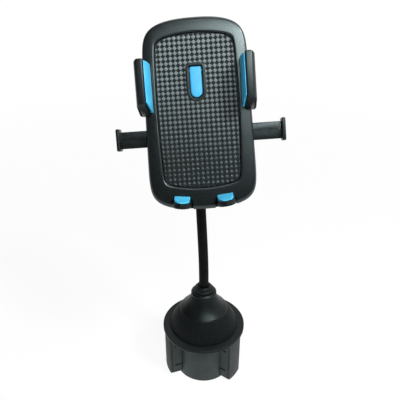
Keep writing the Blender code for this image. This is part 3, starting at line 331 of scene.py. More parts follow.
# the same black plastic is glossier on the arms, and round the cup and on the blocks it is painted paler, painted
# light where they are lit more
armBlack = mouldedFinish("armBlack", {
    "dark": (0.0036, 0.0044, 0.0048), "light": (0.0056, 0.0066, 0.007), "cloud": 60.0, "grain": 2200.0,
    "rough": (0.28, 0.4), "bump": 0.06, "specular": 0.42, "tint": (0.8, 1.0, 1.02)})
# a paler copy of the black plastic: painted light for the lit cup and blocks
cupBlackPaintedLight = mouldedFinish("cupBlackPaintedLight", {
    "dark": (0.013, 0.0165, 0.0172), "light": (0.019, 0.0235, 0.0242), "cloud": 70.0, "grain": 2400.0,
    "rough": (0.42, 0.55), "bump": 0.12, "specular": 0.42, "tint": (0.8, 1.0, 1.02)})
for part in frame["record"]["subparts"]:
    frame["nodes"][part["node"]].material_slots[0].material = finishes[part["material_slot"]]
# the blocks take the cup's painted paler copy of the black plastic
for number in (1, 2, 3):
    frame["nodes"]["expander_%d" % number].material_slots[0].material = cupBlackPaintedLight
print("finishes made:", len(finishes))


# base: cup, disc, twist knob, collar and the pads on the blocks

cupForm = {"radius": 26.0, "wall": 2.2, "height": 45.5, "floor": 2.6, "steps": 192,
           "radii": (0.0001, 0.5, 0.4, 0.4, 1.1, 0.0001), "windowHalf": 8.6, "windowLow": 3.0,
           "windowHigh": 60.0, "windowIn": 15.0, "windowOut": 40.0}
blockForm = {"angles": (-37.0, -161.0, 81.0), "half": 8.2, "outer": 34.4, "low": 3.4, "high": 45.4,
             "shoe": 1.7, "gap": 0.3, "edge": 0.45}


def spun(points, degrees):
    # turns points about the base axis
    c = math.cos(math.radians(degrees))
    s = math.sin(math.radians(degrees))
    return points @ np.array([[c, s, 0.0], [-s, c, 0.0], [0.0, 0.0, 1.0]])


def makeCup(form):
    # cup with a window for each block; both ends of its profile lie on the axis
    inside = form["radius"] - form["wall"]
    corners = [(0.0, form["floor"]), (inside, form["floor"]), (inside, form["height"]),
               (form["radius"], form["height"]), (form["radius"], 0.0), (0.0, 0.0)]
    per = 5
    profile = roundCorners(corners, form["radii"], per)
    profile[:per] = corners[0]
    profile[-per:] = corners[-1]
    points, faces = skin(turnedRings(profile, form["steps"]))
    cup = newPiece("cupShell", onBase(points), faces[:-2], cupBlackPaintedLight)
    cutters = []
    for degrees in blockForm["angles"]:
        boxPoints, boxFaces = boxMesh(
            (form["windowIn"], -form["windowHalf"], form["windowLow"]),
            (form["windowOut"], form["windowHalf"], form["windowHigh"]))
        cutters.append((onBase(spun(boxPoints, degrees)), boxFaces))
    cutWith(cup, cutters)
    wear(cup, "base", "satin_black", "base_cup")


discForm = {"radius": 37.5, "bore": 9.9, "low": 45.8, "high": 49.8, "draft": 0.6, "draftHigh": 1.1,
            "radii": (0.5, 0.3, 0.2, 0.3, 0.3), "steps": 224}


def makeDisc(form):
    # flat washer, drawn in a little at its lower edge
    corners = [(form["radius"], form["high"]), (form["radius"], form["low"] + form["draftHigh"]),
               (form["radius"] - form["draft"], form["low"]), (form["bore"], form["low"]),
               (form["bore"], form["high"])]
    profile = roundCorners(corners, form["radii"])
    points, faces = skin(turnedRings(profile, form["steps"]), True)
    wear(newPiece("discPlate", onBase(points), faces, finishes["satin_black"]), "base",
         "satin_black", "top_disc")


knobForm = {"top": 87.3, "bore": 6.0, "ring": 11.4, "ringLow": 83.4, "neck": 10.9, "neckZ": 83.0,
            "flare": 20.9, "flareZ": 68.6, "lip": 0.25, "foot": 31.2, "footZ": 50.1, "bulge": 1.3,
            "wall": 2.2, "hub": 9.4, "hubTop": 71.3, "hubLow": 44.9, "ribs": 96, "ribDepth": 0.5,
            "perRib": 8, "share": 0.65, "chamfer": 1.5, "ringFoot": 0.6, "ringIn": 0.4,
            "ringRadii": (0.01, 0.4, 0.5, 0.4, 0.25, 0.01), "sideFrom": 0.045, "underTo": 0.35,
            "ribStart": (0.3, 1.6), "ribEnd": (1.8, 0.8), "sharp": 50.0}


def makeKnob(form):
    # top ring, a cone opening like share t + (1 - share) t^3 to a fine lip at the flare, then a side
    # bulging like 1 - (1 - t)^bulge to the foot, with upright ribs; the underside is open round a hub
    per = 5
    ring = roundCorners([(form["bore"], form["top"]), (form["ring"] - form["chamfer"], form["top"]),
                         (form["ring"], form["top"] - form["chamfer"]),
                         (form["ring"], form["ringLow"] + form["ringFoot"]),
                         (form["neck"] - form["ringIn"], form["ringLow"]),
                         (form["neck"], form["neckZ"])], form["ringRadii"], per)[per:-per]
    t = np.linspace(0.0, 1.0, 26)
    opening = form["share"] * t + (1 - form["share"]) * t ** 3
    bell = np.stack([form["neck"] + (form["flare"] - form["neck"]) * opening,
                     form["neckZ"] - (form["neckZ"] - form["flareZ"]) * t], 1)
    lip = np.array([(form["flare"] + form["lip"], form["flareZ"] - form["lip"]),
                    (form["flare"] + form["lip"], form["flareZ"] - 2 * form["lip"])])
    bell = np.concatenate([bell, lip])

    def side(t, inward):
        bulging = 1 - (1 - t) ** form["bulge"]
        return np.stack([form["flare"] + (form["foot"] - form["flare"]) * bulging - inward,
                         form["flareZ"] - (form["flareZ"] - form["footZ"]) * t], 1)

    dome = side(np.linspace(form["sideFrom"], 1.0, 34), 0.0)
    under = side(np.linspace(1.0, form["underTo"], 7), form["wall"])
    hub = np.array([(form["hub"], form["hubTop"]), (form["hub"], form["hubLow"]),
                    (form["bore"], form["hubLow"]), (form["bore"], form["top"])])
    profile = np.concatenate([ring, bell, dome, under, hub])
    ribbed = np.arange(len(profile))[:, None]
    ribbed = (ribbed >= len(ring) + len(bell)) & (ribbed < len(ring) + len(bell) + len(dome))

    def ribs(turn, height, radius):
        # a row of rounded ridges |sin|, fading out at the flare and just above the foot
        fade = smooth(height, form["footZ"] + form["ribStart"][0], form["footZ"] + form["ribStart"][1])
        fade = fade * (1 - smooth(height, form["flareZ"] - form["ribEnd"][0],
                                  form["flareZ"] - form["ribEnd"][1]))
        return form["ribDepth"] * (np.abs(np.sin(turn * form["ribs"] / 2)) - 1.0) * fade * ribbed

    points, faces = skin(turnedRings(profile, form["ribs"] * form["perRib"], ribs), True)
    wear(newPiece("ribbedKnob", onBase(points), faces, finishes["satin_black"], form["sharp"]), "knob",
         "satin_black", "twist_knob")


collarForm = {"bore": 4.6, "low": 87.7, "top": 92.8, "rim": 7.0, "foot": 8.9, "step": 90.0, "inside": 5.75,
              "seat": 91.4, "rimIn": 0.9, "rimDrop": 1.3, "rimOut": 0.2, "stepIn": 0.4, "stepDrop": 0.2,
              "footDrop": 0.9, "radii": (0.3, 0.4, 0.5, 0.25, 0.3, 0.3, 0.3, 0.2, 0.2, 0.2), "steps": 128}


def makeCollar(form):
    # two rounded steps round the sleeve's foot
    corners = [(form["bore"], form["top"]), (form["rim"] - form["rimIn"], form["top"]),
               (form["rim"], form["top"] - form["rimDrop"]), (form["rim"] + form["rimOut"], form["step"]),
               (form["foot"] - form["stepIn"], form["step"] - form["stepDrop"]),
               (form["foot"], form["step"] - form["footDrop"]), (form["foot"], form["low"]),
               (form["inside"], form["low"]), (form["inside"], form["seat"]), (form["bore"], form["seat"])]
    profile = roundCorners(corners, form["radii"])
    points, faces = skin(turnedRings(profile, form["steps"]), True)
    wear(newPiece("collarRing", onBase(points), faces, finishes["satin_black"]), "base",
         "satin_black", "neck_collar")


def makeShoes(form):
    # the pad on each block: its front and back follow circles about the base axis
    inner = form["outer"] + form["gap"]
    y = np.linspace(-form["half"], form["half"], 25)
    front = np.stack([np.sqrt((inner + form["shoe"]) ** 2 - y ** 2), y], 1)
    back = np.stack([np.sqrt(inner ** 2 - y ** 2), y], 1)[::-1]
    outline = np.concatenate([front, back])
    for number, degrees in enumerate(form["angles"]):
        rings = softPrism(outline, form["low"], form["high"], form["edge"])
        points, faces = skin(rings)
        shoe = newPiece("blockShoe%d" % (number + 1), onBase(spun(points, degrees)), faces,
                        finishes["shoe_black"])
        wear(shoe, "block_%d" % (number + 1), "shoe_black", "expander_pad_%d" % (number + 1))


makeCup(cupForm)
makeDisc(discForm)
makeKnob(knobForm)
makeCollar(collarForm)
makeShoes(blockForm)
print("base made")


# neck: four lengths of sleeve, one for each of the neck's four joints, and the fittings at the ball

neckForm = {"radius": 4.25, "bore": 2.95, "foot": 84.4, "start": 96.8, "bend": 38.0, "endDegrees": 35.0,
            "endStraight": 10.0, "bendHalf": (7.4, 12.0, 12.0, 12.0), "meets": (25.0, 76.0, 118.0),
            "endGap": 0.4, "step": 1.6, "sides": 48, "sight": 0.8}
neckJoints = ("neck_bend_low", "neck_lean_low", "neck_bend_high", "neck_lean_high")
neckEnd = np.array(joints["ball_swivel"]["pos_m"]) / mm
neckAhead = np.array(joints["ball_swivel"]["axis"])


def neckLine(form):
    # straight foot, a smooth lean back, an arc that turns forward and a straight end, as one row of points
    turn = math.pi / 2 - math.radians(form["endDegrees"])
    arcEnd = neckEnd - neckAhead * form["endStraight"]
    backY = arcEnd[1] + form["bend"] * (1 - math.cos(turn))
    footZ = arcEnd[2] - form["bend"] * math.sin(turn)
    u = np.linspace(0.0, 1.0, 61)
    ease = u * u * (3 - 2 * u)
    lean = np.stack([neckEnd[0] * ease, backY * ease, form["start"] + (footZ - form["start"]) * u], 1)
    a = np.linspace(0.0, turn, 25)[1:]
    arc = np.stack([np.full(24, neckEnd[0]), backY - form["bend"] * (1 - np.cos(a)),
                    footZ + form["bend"] * np.sin(a)], 1)
    return np.concatenate([[(0.0, 0.0, form["foot"])], lean, arc, [neckEnd]])


def neckRings(form, line, lengths, radius):
    # circles across the neck line at the given lengths above the start of the lean
    along = np.concatenate([[0.0], np.cumsum(np.linalg.norm(np.diff(line, axis=0), axis=1))])
    along = along - (form["start"] - form["foot"])
    spot = np.stack([np.interp(lengths, along, line[:, k]) for k in range(3)], 1)
    further = np.stack([np.interp(lengths + form["sight"], along, line[:, k]) for k in range(3)], 1)
    nearer = np.stack([np.interp(lengths - form["sight"], along, line[:, k]) for k in range(3)], 1)
    ahead = further - nearer
    ahead = ahead / np.linalg.norm(ahead, axis=1)[:, None]
    across = np.array([1.0, 0.0, 0.0]) - ahead * ahead[:, :1]
    across = across / np.linalg.norm(across, axis=1)[:, None]
    up = np.cross(ahead, across)
    turn = np.arange(form["sides"]) * (2 * math.pi / form["sides"])
    return (spot[:, None] + radius * (across[:, None] * np.cos(turn)[None, :, None]
                                      + up[:, None] * np.sin(turn)[None, :, None])), along[-1]


def makeSleeve(form):
    line = neckLine(form)
    total = neckRings(form, line, np.array([0.0]), form["radius"])[1] - form["endGap"]
    begins = (form["foot"] - form["start"], *form["meets"])
    ends = (*form["meets"], total)
    for number, jointName in enumerate(neckJoints):
        joint = joints[jointName]
        steps = int((ends[number] - begins[number]) / form["step"])
        lengths = np.linspace(begins[number], ends[number], steps)
        outer = neckRings(form, line, lengths, form["radius"])[0]
        inner = neckRings(form, line, lengths[::-1], form["bore"])[0]
        points, faces = skin(np.concatenate([outer, inner]), True)
        sleeve = newPiece("sleeveLength%d" % (number + 1), onBase(points), faces, finishes["sleeve_black"])
        middle = np.array(joint["pos_m"])
        near = np.argmin(np.linalg.norm(line * mm - middle, axis=1))
        ahead = line[min(near + 1, len(line) - 1)] - line[near - 1]
        ahead = ahead / np.linalg.norm(ahead)
        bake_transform(sleeve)
        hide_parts("neck_sleeve")


def alongNeck(points):
    # turned pieces on the straight end: their z axis runs on along the neck from its end
    across = np.array([1.0, 0.0, 0.0])
    up = np.cross(neckAhead, across)
    return (neckEnd + points @ np.stack([across, up, neckAhead])) * mm


ferruleForm = {"outer": 5.7, "bore": 4.6, "low": -9.0, "high": 5.8, "stemBore": 2.9, "floor": 1.3,
               "sideLow": 0.7, "sideHigh": 0.9, "mouthIn": 0.6, "grooveAt": (-5.0, -2.6),
               "grooveHalf": 0.55, "grooveDeep": 0.22, "radii": (0.5, 0.2, 0.2), "steps": 96}
studForm = {"ball": 8.5, "reach": 19.0, "shank": 3.6, "stem": 2.6, "shoulder": 6.1, "foot": 1.6,
            "waist": 0.5, "steps": 96}


def makeFerrule(form):
    # short cup over the sleeve's end, with two shallow grip grooves
    z = np.linspace(form["low"] + form["sideLow"], form["high"] - form["sideHigh"], 40)
    grooves = [np.exp(-((z - at) / form["grooveHalf"]) ** 2) for at in form["grooveAt"]]
    groove = form["grooveDeep"] * sum(grooves)
    side = np.stack([form["outer"] - groove, z], 1)[::-1]
    corners = np.array([(form["outer"], form["low"]), (form["bore"], form["low"]), (form["bore"], 0.0)])
    mouth = np.array([(0.0, form["floor"]), (form["stemBore"], form["floor"]),
                      (form["stemBore"], form["high"]), (form["outer"] - form["mouthIn"], form["high"])])
    rest = np.concatenate([roundCorners(corners, form["radii"]), [(0.0, 0.0)]])
    points, faces = skin(turnedRings(np.concatenate([mouth, side, rest]), form["steps"]))
    wear(newPiece("neckFerrule", alongNeck(points), faces[:-2], finishes["satin_black"]), "neck_5",
         "satin_black", "upper_ferrule")


def makeStud(form):
    # ball on a waisted shank that sits in the ferrule
    join = math.sqrt(form["ball"] ** 2 - form["shank"] ** 2)
    a = np.linspace(0.0, math.pi - math.asin(form["shank"] / form["ball"]), 40)
    ball = np.stack([form["ball"] * np.sin(a), form["reach"] + form["ball"] * np.cos(a)], 1)
    t = np.linspace(0.0, 1.0, 9)[1:]
    waist = form["shank"] - form["waist"] * np.sin(math.pi * t)
    shank = np.stack([waist, form["reach"] - join + (form["shoulder"] - form["reach"] + join) * t], 1)
    stem = np.array([(form["stem"], form["shoulder"]), (form["stem"], form["foot"]), (0.0, form["foot"])])
    rings = turnedRings(np.concatenate([ball, shank, stem]), form["steps"])
    points, faces = skin(rings)
    wear(newPiece("ballStud", alongNeck(points), faces[:-2], finishes["steel"]), "stud",
         "steel", "ball_stud")


def aboutBall(points):
    # turned pieces whose z axis points backwards through the ball
    return onCradle(points[:, [0, 2, 1]])


nutForm = {"outer": 16.4, "bore": 13.35, "mouth": 9.5, "front": -10.4, "back": 6.5, "seat": 4.4,
           "seatIn": 0.75, "radii": (0.3, 1.2, 1.0, 0.4, 0.4, 0.2), "grips": 12, "gripDepth": 1.05,
           "gripFrom": 0.25, "gripPower": 0.8, "gripSkin": 1.3, "gripFade": 1.2, "gripEnd": 1.4, "steps": 288}


def makeNut(form):
    # ring with a lip over the ball; rounded hollows are pressed into its side
    corners = [(form["mouth"], form["back"]), (form["outer"], form["back"]),
               (form["outer"], form["front"]), (form["bore"], form["front"]),
               (form["bore"], form["seat"]), (form["mouth"] - form["seatIn"], form["seat"])]
    height = np.linspace(form["back"] - form["radii"][1], form["front"] + form["radii"][2], 16)
    outer = np.stack([np.full(len(height), form["outer"]), height], 1)
    per = 5
    rounded = roundCorners(corners, form["radii"], per)
    profile = np.concatenate([rounded[:2 * per], outer, rounded[2 * per:]])

    def grips(turn, height, radius):
        hollow = np.clip(np.cos(turn * form["grips"]) - form["gripFrom"], 0, 1) / (1 - form["gripFrom"])
        outside = np.clip((radius - form["outer"] + form["gripSkin"]) / form["gripFade"], 0, 1)
        ends = np.clip((form["back"] - height) / form["gripEnd"], 0, 1)
        return -form["gripDepth"] * hollow ** form["gripPower"] * outside * ends

    points, faces = skin(turnedRings(profile, form["steps"], grips), True)
    wear(newPiece("lockRing", aboutBall(points), faces, finishes["satin_black"]), "nut",
         "satin_black", "locking_nut")


makeSleeve(neckForm)
makeFerrule(ferruleForm)
makeStud(studForm)
makeNut(nutForm)
print("neck made")


# cradle housing

bodyForm = {"half": (34.5, 61.28), "power": (2.4, 10.5), "centreZ": -0.4, "taper": 0.0006, "barrel": 0.0,
            "bow": 0.0, "wall": 2.0, "front": -25.5, "crown": 0.55, "roll": 2.9, "rollShare": 0.24,
            "plateFront": -22.6, "plateBack": -20.8, "split": -18.15, "splitGap": 0.15, "rear": -11.0,
            "rearInside": -13.0, "insideRound": 1.4, "flatFrom": 9.0, "rollPower": 2.3,
            "rimRadii": (0.1, 0.25, 0.1), "rearRadii": (0.1, 0.25, 4.0, 0.1),
            "lip": ((-1.35, 0.0), (-0.95, 0.06), (-0.6, 0.25), (-0.4, 0.6)), "lipIn": -0.35,
            "cutFront": -28.0, "cutBack": -18.0, "cutLow": -70.0, "notchRise": 1.1, "slotHalf": 22.0,
            "slotHigh": -50.0, "keyGap": 0.55, "keyHole": (-26.0, -19.0), "sharp": 32.0, "columns": 400}
padForm = {"half": (25.8, 49.0), "power": (12.0, 24.0), "centreZ": 1.8, "taper": 0.0, "barrel": 0.045,
           "bow": 0.075, "front": -24.5, "back": -22.9, "pitch": 3.1, "relief": 0.5, "rise": (-0.22, 0.3),
           "flat": 0.94, "peak": 0.03, "margin": 0.7, "hole": 1.7, "sharp": 60.0, "columns": 150, "rows": 286}
armForm = {"low": 2.0, "high": 34.2, "barLow": -19.0, "barHigh": -9.0, "stripIn": 6.5, "stripOut": 11.0,
           "end": 36.2, "tabHigh": -7.8, "rackEnd": 26.5, "tabEnd": 55.6, "flange": 2.5, "flangeHalf": 4.6,
           "flangeLow": -20.4, "flangeHigh": -5.6, "flangeRound": 1.6, "flangeEdge": 0.7, "layer": 3.2,
           "frontLayer": -20.45, "rearLayer": -16.9, "gate": 0.35, "gateNear": 29.5, "gateFar": 41.5,
           "gateLow": 0.6, "gateHigh": 0.5, "jawIn": 0.25, "inset": 0.3, "tabIn": 1.0, "rearBarDrop": 0.4,
           "radii": (0.6, 0.6, 1.0, 0.3, 0.5, 0.6, 0.6, 1.0, 1.5, 0.6), "edge": 0.3}
pillForm = {"half": 3.7, "top": 29.8, "low": 10.6, "corner": 1.1, "cornerShrink": -0.4}
footForm = {"x": 14.3, "half": 6.4, "turn": 7.0, "low": -59.1, "top": -56.0, "front": -39.8, "round": 11.0,
            "plate": (-20.4, -18.6), "plateHalf": 20.5, "plateLow": -57.0, "plateHigh": -38.0, "notch": 0.68,
            "padBack": -25.9, "lip": 1.0, "gap": 0.3, "lipHigh": 0.5, "lipFrom": -36.0, "padRise": 3.8,
            "padLow": 0.9, "shelfIn": 0.3, "shelfEdge": 0.9, "edge": 0.3, "plateRound": 1.5, "lipIn": 0.05,
            "lipKeep": 0.9, "lipLow": -0.8}


def ovalFactor(power, columns):
    # how far out |x|^p + |z|^q = 1 lies along each direction, found by halving
    turn = 2 * math.pi * (np.arange(columns) + 0.5) / columns
    c = np.abs(np.cos(turn))
    s = np.abs(np.sin(turn))
    low = np.full(columns, 0.5)
    high = np.full(columns, 1.6)
    for _ in range(44):
        middle = (low + high) / 2
        inside = (middle * c) ** power[0] + (middle * s) ** power[1] < 1
        low = np.where(inside, middle, low)
        high = np.where(inside, high, middle)
    return low * np.cos(turn), low * np.sin(turn)


def ovalRings(form, shrink, y):
    # rings of the oval, each drawn in by shrink and set at its own depth y; the sides taper upwards
    # and may swell like a barrel, and the ends may bow
    across, along = ovalFactor(form["power"], bodyForm["columns"])
    shrink = np.asarray(shrink, float)[:, None]
    bowed = (along * (1 - form["bow"] * across ** 2))[None]
    swelled = (across * (1 - form["barrel"] * along ** 2))[None]
    z = form["centreZ"] + (form["half"][1] - shrink) * bowed
    x = (form["half"][0] - shrink) * swelled * (1 - form["taper"] * z)
    return np.stack([x, np.broadcast_to(np.asarray(y, float)[:, None], x.shape), z], -1)


def roundedSteps(points, radius, per=7):
    # an open line of (shrink, depth) with its inner corners rounded
    line = roundCorners(points, radius, per)
    return line[per - 1:len(line) - per + 1]


def pillRing(grow, per=20):
    # flat top with small corners and a round lower end, grown outwards
    half = pillForm["half"] + grow
    corner = min(pillForm["corner"] + max(grow, pillForm["cornerShrink"]), half)
    top = pillForm["top"] + grow - corner
    low = pillForm["low"] + pillForm["half"]
    down = np.linspace(0.0, -math.pi, 2 * per)
    left = np.linspace(math.pi, math.pi / 2, per)
    right = np.linspace(math.pi / 2, 0.0, per)
    return np.concatenate([
        np.stack([half * np.cos(down), low + half * np.sin(down)], 1),
        np.stack([-half + corner + corner * np.cos(left), top + corner * np.sin(left)], 1),
        np.stack([half - corner + corner * np.cos(right), top + corner * np.sin(right)], 1)])


def pillRings(grows, depths):
    rings = np.stack([pillRing(grow) for grow in grows])
    level = np.broadcast_to(np.asarray(depths, float)[:, None, None], rings.shape[:2] + (1,))
    return upright(np.concatenate([rings, level], 2))


def sideGates():
    # the slots in the housing's sides that the arms and tabs slide through
    made = []
    layers = ((armForm["frontLayer"], -1.0), (armForm["rearLayer"], 1.0))
    for layer, side in layers:
        deep = (layer - armForm["gate"], layer + armForm["layer"] + armForm["gate"])
        for out, low, high in (
                (side, armForm["low"] - armForm["gateLow"], armForm["high"] + armForm["gateHigh"]),
                (-side, armForm["barLow"] - armForm["gateHigh"], armForm["tabHigh"] + armForm["gateHigh"])):
            near, far = sorted((out * armForm["gateNear"], out * armForm["gateFar"]))
            points, faces = boxMesh((near, deep[0], low), (far, deep[1], high))
            made.append((onCradle(points), faces))
    return made


def makeBezel(form):
    # open back shell: inside wall, rim, side, a crowned front face and the lip of the pad's recess;
    # across the face, t runs from 0 outside to 1 at the recess, and the face falls by
    # crown (1 - t)^2 and, in the outer share of it, by the roll of a rounded edge
    rim = form["split"] - form["splitGap"]
    side = np.concatenate([
        [(form["wall"], form["plateBack"]), (form["wall"], rim)],
        roundedSteps([(form["wall"], rim), (0.0, rim), (0.0, form["front"] + form["roll"])],
                     form["rimRadii"], 6)[:-1]])
    t = 1 - np.cos(np.linspace(0.0, math.pi / 2, 34))
    near = np.clip(1 - t / form["rollShare"], 0, 1)
    rolled = 1 - np.sqrt(np.clip(1 - near ** form["rollPower"], 0, 1))
    fall = form["crown"] * (1 - t) ** 2 + form["roll"] * rolled
    edge = ovalRings(form, [0.0], [0.0])
    lip = np.array([*form["lip"], (form["lipIn"], form["plateFront"] - form["front"])])
    inner = ovalRings(padForm, lip[:, 0], lip[:, 1] + form["front"])
    face = edge + (inner[:1] - edge) * t[:, None, None]
    face[..., 1] = form["front"] + fall[:, None]
    points, faces = skin(np.concatenate([ovalRings(form, side[:, 0], side[:, 1]), face, inner[1:]]))
    bezel = newPiece("bezelShell", onCradle(points), faces, finishes["housing_black"])
    cutters = sideGates()
    reach = footForm["half"] + footForm["notch"]
    for side in (-1.0, 1.0):
        x = side * footForm["x"]
        points, faces = boxMesh((x - reach, form["cutFront"], form["cutLow"]),
                                (x + reach, form["cutBack"], footForm["top"] + form["notchRise"]))
        cutters.append((onCradle(points), faces))
    slotFront = footForm["plate"][0] - armForm["gate"]
    points, faces = boxMesh((-form["slotHalf"], slotFront, form["cutLow"]),
                            (form["slotHalf"], form["cutBack"], form["slotHigh"]))
    cutters.append((onCradle(points), faces))
    points, faces = skin(pillRings([form["keyGap"], form["keyGap"]], form["keyHole"]))
    cutters.append((onCradle(points), faces))
    cutWith(bezel, cutters, sharp=form["sharp"])
    wear(bezel, "cradle", "housing_black", "front_frame")


screwSpots = ((-21.5, 46.5), (21.5, 46.5), (-25.3, -30.2), (25.3, -30.2))
bossForm = {"bore": 10.7, "outer": 13.0, "front": -11.6, "back": 4.0, "round": 0.4, "steps": 128,
            "well": 2.8, "wellDepth": (-15.2, -9.0), "screw": 1.45, "screwDepth": (-20.0, -14.0),
            "edge": 0.01}


def makeRear(form):
    # shell with a soft outer edge, the ring that holds the ball liner, and a well for each screw
    rim = form["split"] + form["splitGap"]
    inside = np.array([(form["wall"] + form["insideRound"], form["rearInside"]),
                       (form["wall"], form["rearInside"] - form["insideRound"]), (form["wall"], rim)])
    outside = roundedSteps([(form["wall"], rim), (0.0, rim), (0.0, form["rear"]),
                            (form["flatFrom"], form["rear"])], form["rearRadii"], 12)
    profile = np.concatenate([inside, outside])
    points, faces = skin(ovalRings(form, profile[:, 0], profile[:, 1]))
    rear = newPiece("rearShell", onCradle(points), faces, finishes["housing_black"])
    ring = roundCorners([(bossForm["bore"], bossForm["back"]), (bossForm["outer"], bossForm["back"]),
                         (bossForm["outer"], bossForm["front"]), (bossForm["bore"], bossForm["front"])],
                        bossForm["round"])
    points, faces = skin(turnedRings(ring, bossForm["steps"]), True)
    cutWith(rear, [(aboutBall(points), faces)], "UNION")
    cutters = sideGates()
    turn = np.linspace(0.0, 2 * math.pi, 40, endpoint=False)
    for x, z in screwSpots:
        for radius, depth in ((bossForm["well"], bossForm["wellDepth"]),
                              (bossForm["screw"], bossForm["screwDepth"])):
            circle = np.stack([x + radius * np.cos(turn), z + radius * np.sin(turn)], 1)
            points, faces = skin(upright(softPrism(circle, depth[0], depth[1], bossForm["edge"], 2)))
            cutters.append((onCradle(points), faces))
    cutWith(rear, cutters, sharp=form["sharp"])
    wear(rear, "cradle", "housing_black", "rear_cover")


def makePad(form):
    # a square of u and v is drawn out to the oval |x/a|^p + |z/b|^q = 1; raised diamonds stand
    # where cos(2 pi x / pitch) + cos(2 pi z / pitch) is above zero; the trigger's place is left open
    u, v = np.meshgrid(np.linspace(-1, 1, form["columns"]), np.linspace(-1, 1, form["rows"]))
    cornerX = 0.5 ** (1 / form["power"][0])
    cornerZ = 0.5 ** (1 / form["power"][1])
    across = u * (1 - np.abs(v * cornerZ) ** form["power"][1]) ** (1 / form["power"][0])
    along = v * (1 - np.abs(u * cornerX) ** form["power"][0]) ** (1 / form["power"][1])
    x = form["half"][0] * across * (1 - form["barrel"] * along ** 2)
    z = form["half"][1] * along * (1 - form["bow"] * across ** 2)
    wave = np.cos(2 * math.pi * x / form["pitch"]) + np.cos(2 * math.pi * z / form["pitch"])
    raised = smooth(wave, *form["rise"]) * (form["flat"] + form["peak"] * wave)
    edge = np.minimum((1 - np.abs(u)) * form["half"][0], (1 - np.abs(v)) * form["half"][1])
    raised = raised * smooth(edge, 0.0, form["margin"])
    y = form["front"] + form["relief"] * (1 - raised)
    z = z + form["centreZ"]
    top = np.stack([x, y, z], -1).reshape(-1, 3)
    bottom = top.copy()
    bottom[:, 1] = form["back"]
    quads = gridQuads(form["rows"], form["columns"], wrapCols=False)
    middle = top[quads].mean(1)
    half = pillForm["half"] + form["hole"]
    roof = pillForm["top"] + form["hole"]
    level = pillForm["low"] + pillForm["half"]
    below = np.hypot(middle[:, 0], middle[:, 2] - level) < half
    above = (np.abs(middle[:, 0]) < half) & (middle[:, 2] > level) & (middle[:, 2] < roof)
    quads = quads[~(below | above)]
    sides = np.concatenate([quads[:, [k, (k + 1) % 4]] for k in range(4)])
    _, first, count = np.unique(np.sort(sides, 1), axis=0, return_index=True, return_counts=True)
    rim = sides[first[count == 1]]
    shift = len(top)
    walls = np.stack([rim[:, 1], rim[:, 0], rim[:, 0] + shift, rim[:, 1] + shift], 1)
    faces = np.concatenate([quads, quads[:, ::-1] + shift, walls])
    used = np.unique(faces)
    points = np.concatenate([top, bottom])[used]
    relief = np.concatenate([raised.ravel(), np.zeros(shift)])[used]
    faces = np.searchsorted(used, faces).tolist()
    pad = newPiece("diamondPad", onCradle(points), faces, finishes["pad_grey"], form["sharp"], relief)
    wear(pad, "cradle", "pad_grey", "textured_pad")


borderForm = {"inner": 0.9, "outer": 2.75, "front": -25.1, "back": -22.9, "radii": (0.1, 0.35, 0.9, 0.1)}
buttonForm = {"front": -25.7, "back": -20.6, "edge": 0.75, "crown": 0.12, "foot": 0.4, "middle": 0.05}


def makeTrigger(border, button):
    # border: a rounded bar carried round the pill; button: pills drawn in towards a slightly
    # crowned face
    bar = roundCorners([(border["inner"], border["back"]), (border["inner"], border["front"]),
                        (border["outer"], border["front"]), (border["outer"], border["back"])],
                       border["radii"], 7)
    points, faces = skin(pillRings(bar[:, 0], bar[:, 1]), True)
    wear(newPiece("triggerBorder", onCradle(points), faces, armBlack), "cradle",
         "satin_black", "trigger_bezel")
    a = np.linspace(0.0, math.pi / 2, 8)
    edgeIn = button["edge"] * (1 - np.cos(a))
    edgeY = button["front"] + button["crown"] + button["edge"] * (1 - np.sin(a))
    face = np.linspace(button["edge"], pillForm["half"] - button["middle"], 8)[1:]
    share = (face - button["edge"]) / (pillForm["half"] - button["edge"])
    faceY = button["front"] + button["crown"] * (1 - share * (2 - share))
    grows = -np.concatenate([[button["foot"], 0.0], edgeIn, face])
    depths = np.concatenate([[button["back"], button["back"] + button["foot"]], edgeY, faceY])
    points, faces = skin(pillRings(grows, depths))
    wear(newPiece("triggerKey", onCradle(points), faces, finishes["button_blue"]), "trigger",
         "button_blue", "trigger_button")


springForm = {"radius": 1.7, "wire": 0.28, "curls": 5, "front": -20.0, "back": -13.6, "z": 14.6, "keep": 0.76,
              "perCurl": 32, "sides": 10}


def makeSpring(form):
    # round wire on a helix behind the button
    t = np.linspace(0.0, 1.0, form["curls"] * form["perCurl"] + 1)[:, None]
    turn = 2 * math.pi * form["curls"] * t
    around = 2 * math.pi * np.arange(form["sides"]) / form["sides"]
    reach = form["radius"] + form["wire"] * np.cos(around)
    y = form["front"] + (form["back"] - form["front"]) * t + form["wire"] * np.sin(around)
    points, faces = skin(np.stack([reach * np.cos(turn), y, form["z"] + reach * np.sin(turn)], -1))
    spring = newPiece("triggerCoil", onCradle(points), faces, finishes["steel"])
    wear(spring, "cradle", "steel", "trigger_spring")
    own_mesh(spring)


makeBezel(bodyForm)
makeRear(bodyForm)
makePad(padForm)
makeTrigger(borderForm, buttonForm)
makeSpring(springForm)
print("housing made")


# arms with their sliders, tabs and grips

